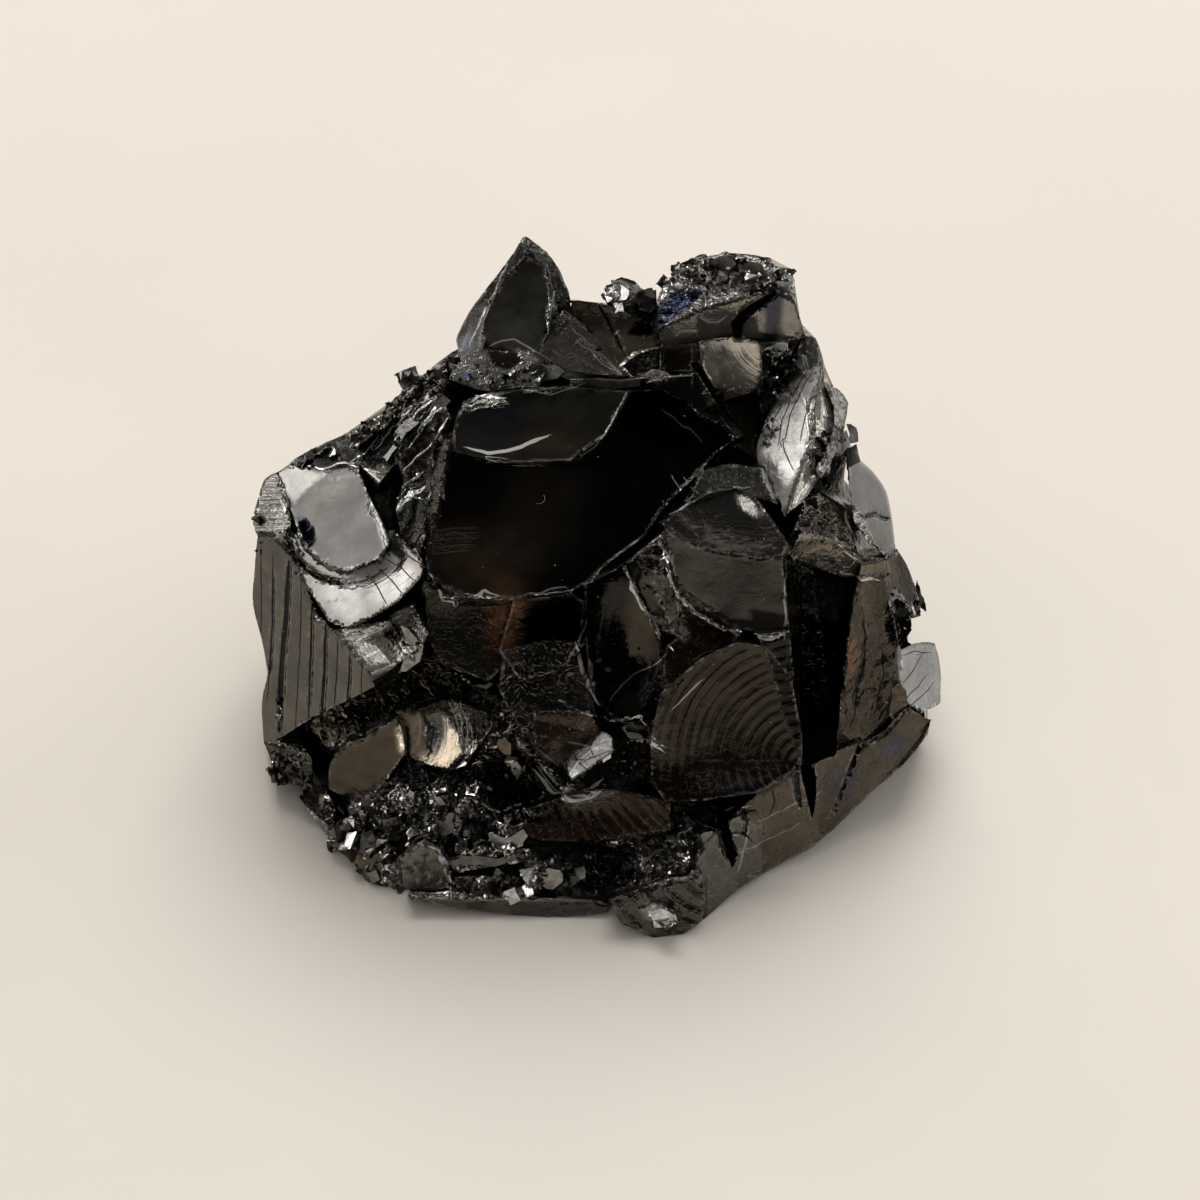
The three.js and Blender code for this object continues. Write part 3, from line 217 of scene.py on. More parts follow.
        hackles=(-4, 32, 120, 0.1), gain=0.8, torn=0.12, rim=0.15),
    "saddle_ridge": laid("glass", "-3.6 28 -2.2 27 0.2 24 2.3 21.2 1 20.4 -3 20.8 -6 22.3 -5.8 24.8", film=0.3,
        hackles=(-5, 30, 170, 0.12), gain=2.2, torn=0.25, rim=0.35, aim=(0.1, 0.45), hold=0.5),
    "peak_face": laid("glass", "-7.2 33.4 -5.8 32.6 -4.4 29 -3.6 26 -5.5 24 -10 23.6 -12 25.6 -10.8 29 -8.7 32",
        film=0.35, flat=0.6, gain=0.681, torn=0.05, rim=0.1),
    "peak_left": laid("glass", "-7.5 35.2 -7 33.4 -8.7 32 -10.8 29 -12 25.6 -12.2 23 -14 22.6 -14.5 25 -13 28 "
        "-10.6 31 -9.2 33", film=0.35, ripples=(-16, 34, 1.5, 0.08), gain=0.2, torn=0.25, rim=0.1),
    "peak_right": laid("glass", "-7.5 35.2 -5.2 33.8 -4.1 32 -3 29.5 -3.2 25.6 -3.6 26 -4.4 29 -5.8 32.6 -7 33.4",
        film=0.3, crumble=0.3, gain=1.3, torn=0.5, rim=0.25),
    "flakes": laid("steel", "-15 21 -14 23 -12 24 -7 23.8 -5.2 22.2 -6 20.4 -12 19.8", film=0.15, crumble=0.1,
        gain=3.024, torn=0.35, rim=0.3),
    "low_cheek": laid("bronze", "-27.2 -17.5 -25.5 -15.4 -23 -14.4 -20.5 -12.8 -19.8 -13.2 -19.3 -16 -21.3 -19 "
        "-23 -20.6 -25.5 -20.8 -27.2 -20", film=0.12, ripples=(-28, -26, 1.8, 0.02), flat=0.6, gain=0.66, torn=0.05,
        rim=0.25, soft=0.2, ragged=0.12),
    "gold_dish": laid("gold", "-20 -12.5 -17 -11.4 -15.2 -10.9 -13.8 -13 -13.2 -16 -15 -17.8 -17 -17.5 -18.8 -16.6 "
        "-19.4 -15", ripples=(-21, -14, 0.7, 0.16), gain=0.85, aim=(0.6, -0.35), hold=0.5, torn=0.06, rim=0.3),
    "gold_top": laid("glass", "-15.6 -10.9 -14.6 -10.8 -11 -12.4 -10.4 -13.6 -12 -15.6 -13.4 -17.2 -14.2 -14",
        ripples=(-21, -14, 0.9, 0.2), aim=(0.3, 0.5), hold=0.75, gain=1.2, torn=0.2, rim=0.3),
    # A high gain on the crumbs: painted light.
    "crumbs": laid("steel", "-28 -20.6 -24.6 -21.3 -22.6 -20.6 -21 -19.3 -14 -19.4 -9 -18.6 -8 -20.6 -9 -23.4 "
        "-6 -26 0 -26 0 -30.6 -10 -31 -20 -30.6 -24.5 -28 -28 -24", crumble=0.8, gain=4.056, torn=0.5),
    "grey_foot": laid("glass", "-20 -26.4 -17.4 -24.8 -15.7 -26 -14.7 -29 -15.4 -30.2 -19.5 -30.4 -20.2 -29.5",
        film=0.3, crumble=0.15, flat=0.6, gain=1.955, torn=0.2, rim=0.35),
    "hoof": laid("glass", "0.8 -30.8 4 -29.6 8 -28.4 10 -27.6 10.6 -30.5 10 -33.2 8 -34.4 5.5 -34.7 2 -33.2",
        film=0.1, ripples=(12, -26, 1.6, 0.15), crumble=0.05, gain=0.95, torn=0.15, rim=0.25),
    "heel_left": laid("glass", "9.6 -26.4 11 -24.4 13 -22.8 15.6 -22 16.5 -24 16.2 -28.4 13.6 -30 10.2 -33 10.3 -30 "
        "9.6 -28", film=0.2, hackles=(30, 10, 500, 0.12), flat=0.6, torn=0.22, gain=1.25, rim=0.2),
    "heel_middle": laid("bronze", "13 -22.6 16 -20 20 -18.2 23.4 -16.2 25.8 -15.2 24 -20 22 -25.2 19 -26.8 "
        "16.2 -28.2 15.8 -24", film=0.3, hackles=(30, 10, 500, 0.12), ripples=(6, -10, 2.2, 0.03), flat=0.6,
        torn=0.18, gain=0.79, rim=0.2),
    "heel_right": laid("bronze", "22.6 -16.4 25.5 -15.6 28.5 -14 30.6 -11.6 33 -13 34 -11.4 33 -13.6 32.4 -15.2 "
        "30.4 -17.6 28 -19.6 26.1 -21.3 23 -24.4 21.6 -25", film=0.2, hackles=(30, 10, 500, 0.12), flat=0.6, torn=0.2,
        gain=0.67, rim=0.2),
}

# Hollows that swallow the light, in the same terms. Their high gains paint light and glints into the shaded hollows.
GULLIES = {
    "long_gully": laid("jet", "-33.2 -15.4 -30 -13.6 -26 -11.6 -22.3 -9.7 -20 -7.6 -16.5 -7 -13 -8.4 -10 -9.6 "
        "-10.4 -11.6 -12 -11.8 -15 -10.6 -20 -12.3 -23 -13.8 -26 -15.2 -29 -16.3", film=0, torn=0.2, gain=2.8,
        crumble=0.1),
    "side_gully": laid("jet", "19.6 3 20 -2 19.9 -9 20.2 -17 23.5 -16.6 23.7 -11 24.9 -2 24 1.2 22 2", film=0,
        gain=2.4, torn=0.25),
    "hollow": laid("steel", "-10 -10 -8 -13.6 -6.4 -16.6 -4 -18.6 -3.6 -20.6 -8.5 -22 -9.8 -20.6 -12 -19 -14 -18.2 "
        "-12.4 -16 -10.6 -13.6", film=0, gain=4.2, torn=0.5, crumble=0.35),
    "under_cheek": laid("steel", "-21.4 -19 -19.2 -16.8 -17 -17.8 -15 -18.1 -13.4 -17.2 -12 -18.6 -14 -20 -20 -20.4",
        film=0, gain=2.5, torn=0.7, crumble=0.4),
    "foot_hole": laid("steel", "0 -25 4 -24.4 8.6 -24.6 9.2 -27 9 -28.4 4 -29.4 0.6 -30 -0.6 -27.4", film=0, gain=5.6,
        torn=0.8, crumble=0.5),
    # A very high gain, brighter than a mirror: painted light in the saddle's hollow.
    "saddle_hole": laid("steel", "2.2 22.4 3.5 23.5 5.9 24.1 6 21.7 3.2 21.3", film=0, torn=0.6, gain=18, crumble=0.3,
        aim=(0.2, 0.4), hold=0.4),
}

# Patches laid over them, in the same terms, but changing only what they name. Some are soft ovals, given by their
# middle (at), their reach across and up, and their turn.
PATCHES = [
    oval("umber", at=(-12.5, 3), reach=(5.2, 3.4), gain=0.75, film=0.2, strength=0.8, soft=1.2),
    oval("rust", at=(-9.5, -1), reach=(2, 2.2), film=0.3, strength=0.6, soft=1.2),
    oval("rust", at=(-9.7, -3.8), reach=(1.7, 2.8), gain=1.1, film=0.4, strength=0.9, soft=1.2),
    oval("bronze", at=(-6, 9), reach=(4, 8), gain=0.75, film=0.1, strength=0.4, soft=1.4, turn=-20),
    oval("blue", at=(-10.6, 16.6), reach=(2.6, 2.2), gain=0.5, film=0.05, strength=0.5, soft=1.2),
    oval("umber", at=(-5.5, 14.4), reach=(3.4, 1.2), gain=0.8, film=0.2, strength=0.6, soft=1),
    # A cluster of glints on the dark face: turned toward the window with a shining rim, a painted highlight.
    laid("steel", "-12.4 19.4 -11.2 19.8 -10 19.4 -9.2 18.6 -10.2 18.2 -11.8 18.4 -13.2 17.8 -13.6 18.6",
        aim=(0.74, -0.5), hold=0.8, torn=0.7, rim=0.9),
    # A silver patch turned toward the window: painted highlight.
    laid("silver", "-22.2 10.5 -21.4 10 -20.8 9.3 -21.6 8 -22.4 7.4 -23 8.2 -22.8 9.4", gain=0.9, torn=0.8,
        aim=(0.7, -0.5), hold=0.4, rim=0.9),
    # Silver ovals that brighten the bright rim: painted highlight.
    oval("silver", at=(-20.5, 0.5), reach=(2.6, 1.3), gain=1.1, strength=0.45, soft=1, turn=35),
    oval("silver", at=(-25.5, -1), reach=(2.2, 1.4), strength=0.35, soft=1, turn=-35),
    oval("steel", at=(12, 9), reach=(3, 1.1), gain=0.8, aim=(0.6, -0.6), hold=0.4, strength=0.6, soft=1.2, turn=-20),
    oval("bronze", at=(4, -3.5), reach=(1.5, 4.3), gain=0.45, aim=(0.1, 0.6), hold=0.8, film=0.1, soft=1.1, turn=-8,
        torn=0.03, ragged=0.12),
    laid("glass", "5.5 2 7.2 0 8.2 -2.8 9 -4.2 8.4 -5.2 7.4 -4.2 6.2 -1.6 5 1.2", gain=0.8, aim=(0.2, 0.55), hold=0.8,
        rim=0.8),
    laid("steel", "-6 -18 -4.8 -19.6 -2.8 -20.4 0 -19.8 4 -18 4.6 -18.6 1 -20.8 -2.6 -21.6 -5.2 -20.8 -6.6 -19.2",
        aim=(0.7, -0.4), hold=0.5, torn=0.5, rim=0.9, ripples=(-1, -15, 0.55, 0.6), crumble=0),
    # The gold dish's left lobe: a gold tone with much film, a matte glow that paints its highlight.
    laid("gold", "-19.9 -12.6 -18.8 -12.2 -17.8 -12.6 -17.2 -14 -17 -15.8 -17.6 -17.2 -19.2 -16.8 -20 -15.5 "
        "-20.2 -14", gain=3.4, torn=0.5, crumble=0.1, aim=(0.74, -0.49), hold=1, ragged=0.5, soft=0.9, film=0.75),
    laid("gold", "-15 -17.8 -13.4 -16.2 -12.4 -15 -11.6 -15.4 -12.4 -17.2 -14 -18", gain=0.35, torn=0.6,
        aim=(0.74, -0.45), hold=0.8, rim=0.4, crumble=0),
    laid("blue", "5.5 26 5.7 27.8 6.8 29.2 9 30 10.6 29.8 9 28.2 7.2 26.8 6 25.6", gain=1.2, film=0.05,
        aim=(0.3, 0.5), hold=0.5, ripples=(6.8, 17, 0.9, 0.6), rim=0.4),
    oval("white", at=(5.5, 27), reach=(0.5, 1.2), gain=0.35, film=0.1, strength=0.9, soft=1),
    laid("blue", "16 29 17.5 30 18.3 29.8 18.2 27.2 17.6 24.8 16.2 24.8 16.4 27", gain=0.4, film=0.12, strength=0.85,
        soft=0.8),
    oval("silver", at=(11.8, 24.5), reach=(1.1, 0.8), strength=0.7, soft=1, aim=(0.5, 0.5), hold=0.5),
    laid("umber", "6.2 22.2 8 23.8 10.8 24 10 22.8 8.4 21.6 6.4 21.4", gain=0.8, film=0.2, rim=0.7),
    oval("glass", at=(20, 20), reach=(1.6, 4.2), gain=0.75, strength=0.6, soft=1.2, turn=-22),
    # Silver ribs on the curl beside the brow: painted highlight.
    laid("silver", "24.5 8.5 25 9 26.2 7 27.6 4.2 27 3.8 25.6 5 24.6 7", gain=1.2, aim=(-0.2, 0.5), hold=0.5,
        ripples=(10, 7, 0.55, 0.7), rim=0.8),
    laid("jet", "28.6 -1.6 29.6 -1 30.8 -1.4 31.4 -3 31.2 -5 30.2 -6 29 -5.2 28.4 -3.6", gain=0.8, film=0.05,
        aim=(0, -0.1), hold=0.8, rim=0.8),
    # A white dot turned toward the window: painted glint.
    oval("white", at=(30.2, -2.2), reach=(0.5, 0.35), gain=0.6, aim=(0.7, -0.5), hold=0.9, soft=1),
    oval("rust", at=(24.3, -0.2), reach=(0.6, 0.9), gain=2.2, film=0.4, strength=0.8, soft=1),
    oval("rust", at=(25, -6.5), reach=(0.6, 2), gain=1.6, film=0.35, strength=0.6, soft=1),
    oval("blue", at=(24.3, -19.3), reach=(1.8, 1.4), gain=0.8, film=0.1, strength=0.4, soft=1.3),
    oval("blue", at=(29.6, -15.8), reach=(1.3, 0.9), film=0.1, strength=0.45, soft=1.2, turn=30),
    oval("blue", at=(13.5, -19.5), reach=(2.2, 0.5), gain=0.7, film=0.1, strength=0.5, soft=1.2),
    oval("blue", at=(-13.3, 24.8), reach=(0.8, 0.8), gain=1.3, film=0.2, strength=0.8, soft=0.8),
    oval("blue", at=(-13.2, 21.2), reach=(0.6, 0.6), gain=2.5, film=0.5, strength=0.8),
    laid("steel", "-5.2 32.8 -4.4 32.8 -3.4 30 -3.7 26 -4.4 25.4 -5.2 27 -4.8 30", gain=1.1, torn=0.9, crumble=0.2,
        aim=(0.3, 0.5), hold=0.4),
    # Near-black patches beside the saddle's hollow, with no film.
    laid("soot", "2.7 25.6 3.6 26.8 5.2 27.2 6 26.6 5.8 25.8 4 25.4", film=0, torn=0.2),
    laid("silver", "4.5 21.2 5.5 22 6.4 21.8 7.6 21 6 20.6 4.8 20.6", gain=1.3, aim=(0.5, 0.5), hold=0.6, torn=0.5),
    # A white chip at the foot, turned toward the floor: painted highlight.
    laid("white", "4 -31.8 5.2 -31 6.4 -31.4 7 -32.4 6 -33.2 4.6 -32.6", gain=0.6, film=0.3, aim=(0.5, 0.5), hold=0.8,
        torn=0.4, rim=0.9),
    laid("steel", "10 -23 11.2 -22.2 12.2 -21.8 12.6 -22.6 11.4 -23.8 10.4 -24.2", gain=1.4, aim=(0.5, 0.5), hold=0.5,
        torn=0.5),
    # Silver over the top of the bright dish: painted reflection.
    laid("silver", "-32.3 12.2 -30.1 12.3 -27.6 11.4 -29.3 10.2 -30.5 8.7 -31.6 10.2", gain=0.52, film=0.2, torn=0.05,
        rim=0.4, aim=(0.74, -0.5), hold=0.85),
    laid("bronze", "-32 5.9 -31.2 5.4 -29.8 3.4 -27.8 1.8 -25.6 1 -25.6 0.3 -27.8 0.9 -30 2.4 -31.6 4.5", gain=0.45,
        film=0.3, aim=(0.4, 0), hold=0.6),
    # A silver spot on the lens: painted highlight.
    laid("silver", "15.2 15 15.9 15.2 16.2 14.4 15.8 13.6 15.1 14", gain=1.1, aim=(0.74, -0.49), hold=0.8, torn=0.3),
    # A gold streak under the brow, with film: painted highlight.
    laid("gold", "20.6 3.8 22 4.3 23.2 4.1 24.5 3.2 22.8 3 21.4 3.3", gain=1.3, film=0.25, aim=(0.5, 0.5), hold=0.8,
        torn=0.1, rim=0.5),
    # Another near-black patch beside the saddle's hollow.
    laid("soot", "4 26.4 5.2 27.4 6.4 26.8 6.2 25.6 4.4 25.4", film=0, torn=0.2),
    oval("silver", at=(11.4, 24.1), reach=(1.6, 1.2), gain=1.2, film=0.2, strength=0.8, soft=1, aim=(0.5, 0.55)),
    oval("glass", at=(-27.2, 9.6), reach=(1.6, 0.9), gain=0.55, film=0.2, soft=0.7, turn=20, aim=(0.5, -0.1),
        hold=0.5, ragged=0.2),
    laid("blue", "-30.2 7 -29.4 7.2 -28.6 6.2 -28.4 4.8 -29 4.2 -29.8 5", gain=0.22, film=0.1, aim=(0.2, 0.2),
        hold=0.6, torn=0.2),
    # Silver with much film over the rim's lower part: a matte glow that paints its reflection.
    laid("silver", "-25.6 2 -23.2 2.4 -20.8 3.8 -19.8 3 -20.8 1.4 -23.2 0.4 -25.6 0", gain=1.3, film=0.8, soft=0.3,
        hackles=(-26.5, 9, 260, 0.3)),
    # A silver, film-covered knob: its silvery highlights are painted.
    oval("silver", at=(1.6, 29.2), reach=(2.2, 1.9), film=0.3, torn=1, crumble=0.2, soft=0.4, aim=(0.6, -0.2),
        hold=0.4),
    laid("glass", "19.2 1.5 19.8 3 23 3.2 25 1.5 25 -0.6 23.8 -3.2 21.5 -2.4 20 -1.4", gain=0.75, film=0.2, torn=0.4,
        crumble=0.1, aim=(0.1, 0.5), hold=0.6, rim=0.4),
    laid("rust", "24.2 1 25 1.2 25.2 -0.8 24.5 -1.4", gain=1.8, film=0.35, strength=0.9),
    laid("blue", "5.4 27.2 6 28.6 7.2 29.6 8.8 30.2 9 29 7.6 27.8 6.4 26.4 5.6 26", gain=1.2, film=0.1,
        aim=(0.4, 0.5), hold=0.6, torn=0.4, strength=0.9),
    laid("glass", "-17.6 -12.6 -16 -12.2 -15.2 -13.2 -15.4 -15.4 -16.4 -16.6 -17.4 -15.8", gain=1.1, film=0.2,
        aim=(0.5, -0.05), hold=0.5, soft=1.2),
    # The white chip: silver with much film, turned toward the window: painted highlight.
    laid("silver", "-3.3 -17.3 -2.5 -16.1 -0.8 -15.5 0.3 -13.8 1.1 -14.5 1.3 -15.7 0.9 -16.6 -0.2 -17.6 -1.4 -18.4 "
        "-2.2 -19.2 -3.1 -18.6", gain=1.15, film=0.7, aim=(0.74, -0.49), hold=1, torn=0.04, crumble=0, soft=0.15,
        ragged=0.1, hackles=(0, 0, 1, 0), ripples=(0, 0, 1, 0)),
    # Two silver ovals turned toward the window: painted highlights on the fan's leaf and on the lens.
    oval("silver", at=(14.8, 8.3), reach=(1.7, 0.75), gain=0.55, aim=(0.74, -0.5), hold=0.85, soft=1, turn=-42,
        strength=0.95, film=0.1),
    oval("silver", at=(16.9, 12.2), reach=(0.8, 1.9), gain=1.5, strength=0.95, soft=1, turn=20, aim=(0.74, -0.49),
        hold=1, film=0.4),
    # A near-black patch over the hollow: painted shade in its depth.
    laid("jet", "-12.2 -18 -10.8 -15.8 -8.5 -15.2 -6.5 -16.2 -4.8 -18.2 -3.4 -21 -4 -22.8 -7 -23.2 -10 -22.8 "
        "-11.5 -21", gain=0.5, film=0, torn=0.25, crumble=0.1, soft=0.9, ragged=0.3, strength=0.9),
    # A near-black patch over the hole at the foot: painted shade in its depth.
    laid("jet", "-4 -25.2 0 -24.8 4 -25.8 3.6 -29 0 -30.6 -2.8 -29.8 -4.4 -27.6", gain=0.6, film=0, torn=0.3,
        crumble=0.15, soft=0.9, ragged=0.3, strength=0.85),
    laid("bronze", "-27 -26.2 -24.8 -24.8 -22.4 -25.6 -21.6 -27.8 -22.8 -29.6 -25.2 -29.4 -26.8 -28.2", film=0.12,
        torn=0.2, crumble=0.05, ragged=0.2, aim=(0.1, 0.45), hold=0.5, rim=0.3),
    laid("glass", "-28.2 -21.6 -26.4 -21 -25.4 -22.4 -25.8 -24.2 -27.4 -24.6 -28.6 -23.2", gain=1.1, film=0.1,
        torn=0.2, crumble=0.05, soft=0.4, ragged=0.2, aim=(-0.1, 0.5), hold=0.5, rim=0.35),
    # Silver with much film beside the bright dish: a matte glow that paints a highlight.
    laid("silver", "-23.2 10.4 -22 10 -21 8.8 -20.6 7 -20.7 4.8 -21.3 4.2 -21.9 6 -22.5 8.2", film=0.6, gain=1.25,
        torn=0.15, crumble=0, soft=0.4, ragged=0.15, hackles=(-26.5, 9, 60, 0.25), rim=0.3),
    # Bronze with film over a break that mirrors only dark: painted light.
    laid("bronze", "-23.4 12 -21.6 12.4 -19.8 11.2 -19.8 9 -20.2 6.6 -20.6 8.4 -21.6 10 -23 10.8", film=0.35,
        gain=1.1, torn=0.5, crumble=0.1, soft=0.6, ragged=0.3, hackles=(-30, 2, 110, 0.6)),
    # Silver with film along the rim's lower band: painted highlight.
    laid("silver", "-28.4 -1.4 -26.8 -3.4 -24.8 -4.2 -22.2 -3.2 -19.8 -1.6 -17.6 0.8 -17.1 0.2 -19.2 -2.4 -21.6 -4 "
        "-24.8 -5 -27.2 -4.2 -28.7 -2", film=0.55, gain=0.7, torn=0.6, crumble=0.1, ragged=0.4,
        hackles=(-26.5, 9, 110, 0.4)),
    laid("bronze", "10 19.6 12.2 20.4 14.4 19.4 15.6 17.8 16 15 15 12.8 14.2 15 12.8 17.2 11.2 18.2", film=0.25,
        gain=1.1, torn=0.5, crumble=0.15, soft=0.8, ragged=0.4, strength=0.9),
    # A small silver shell: painted highlight.
    laid("silver", "-7.2 22 -6 22.7 -4.4 22.6 -3.4 21.8 -4.2 21 -5.8 20.8 -7 21.2", film=0.2, gain=0.6,
        aim=(0.5, 0.5), hold=0.8, torn=0.05, crumble=0, soft=0.3, rim=0.5),
    laid("bronze", "-11.4 23.8 -10 24.4 -8.4 23.8 -7.6 22.8 -9 21.8 -10.6 22.2", film=0.2, gain=0.9, aim=(0.2, 0.5),
        hold=0.6, torn=0.1, crumble=0, soft=0.4, rim=0.3),
]

# Cracks: width, wobble, strength, and the places along each.
CRACKS = table("""
0.16 0.12 1 25.9 7.6 26.6 7.3 27.4 7.7 28.2 7.3 29.3 7.3
0.2 0.2 1 9.7 22.4 10.4 21 11.2 19.8 12.2 18.8 13.2 17
0.12 0.1 1 -0.4 29 1 26.4 2.8 22.8
0.3 0.12 1 20.1 25.2 19.2 23 17.8 21 16.8 19.8
0.18 0.1 1 16.3 22.2 16.5 20.4 15.8 18.8
0.14 0.05 1 17 23 20 23.2
0.45 0.15 1 11.6 -23 12.2 -25 12.9 -27
0.45 0.12 1 19.6 -17.5 19.6 -19 20 -21.6
0.1 0.1 1 12.8 -24.2 14.4 -24.4 15.2 -25
0.12 0.1 1 14.4 -21.8 14.6 -23.2 14.4 -24.4
0.08 0.1 1 17 -19.2 17.4 -21 17 -22.2
0.06 0.05 1 -2.8 -15.8 -2.2 -17.2 -0.8 -18.2
0.07 0.06 0.45 -33.8 4.5 -33.8 -1 -34.1 -8
0.1 0.06 0.45 -33.3 -11 -32.7 -3 -32.6 3.4
0.41 0.08 1 -31 2.8 -31.3 -2 -31.8 -7 -32.2 -14
0.07 0.06 0.45 -30.6 -14.8 -29.9 -5 -29.7 1.4
0.12 0.06 0.45 -28.6 -0.2 -28.8 -5 -29.2 -14
0.21 0.08 1 -27.9 -13.2 -27.5 -8 -27.3 -3.2
0.08 0.06 0.45 -26.1 -4.2 -26.2 -8 -26.6 -12.4
0.1 0.06 0.45 -25.3 -11.6 -25 -9 -24.9 -5.8
0.06 0.06 0.45 -23.7 -7.2 -23.8 -10.5
0.17 0.08 1 -31.8 5.6 -30.4 3.2 -28.4 1.3 -25.6 0.5 -23.2 0.9 -21.1 2.2
0.06 0.06 0.45 -25.5 1.1 -27.4 1.3 -29.4 2.2 -31 3.8
0.65 0.08 1 17.5 29.8 16.4 28.8 14.2 27.7
0.5 0.08 1 13.9 25.2 13.9 26.5 14.2 27.7
0.1 0.3 0.8 26 -1.6 26.6 -5 25.8 -9 25.2 -13.8
0.08 0.3 0.7 24.2 -3.4 24.6 -7 24.1 -11
0.08 0.3 0.7 28 -5 28.4 -8.2 27.5 -12.2
0.06 0.1 1 -2.7 -16.8 -1.4 -17 -0.2 -16.4 1 -16
0.05 0.1 1 -1 -15.6 -0.6 -16.6 0 -17.4
0.05 0.04 0.6 -20.9 5.3 -19.2 5 -17.7 4.1
0.05 0.04 0.6 -17.5 2.4 -19.3 3.5 -20.9 4.2
0.05 0.04 0.6 -21.3 3.1 -19.7 2.2 -18.4 0.9
0.05 0.04 0.6 -19.5 -0.4 -20.7 1 -22 2.2
0.05 0.04 0.6 -23 1.7 -22 0.2 -21.2 -1.3
0.05 0.12 0.55 21.2 21.8 20 19.8 19 17.6 18.4 15
0.05 0.12 0.5 17.8 14.4 18.2 17 19.2 19.4 20.6 21.8
0.05 0.12 0.5 21.5 20.4 20.6 17.8 20 15
0.05 0.1 0.45 17 15 17.2 16.6 18.2 18.8
0.06 0.1 0.4 19.2 12 18.4 13.8 18.2 15
0.05 0.15 0.45 30.3 -11 31.5 -10 32.8 -8.6
0.05 0.15 0.4 33.4 -9.4 32.2 -10.8 31 -11.6
0.05 0.15 0.4 30.4 -9.2 31.4 -8 32.2 -6.6
0.06 0.1 0.6 30.5 -6.5 31.6 -6.1 33 -6.3
""")

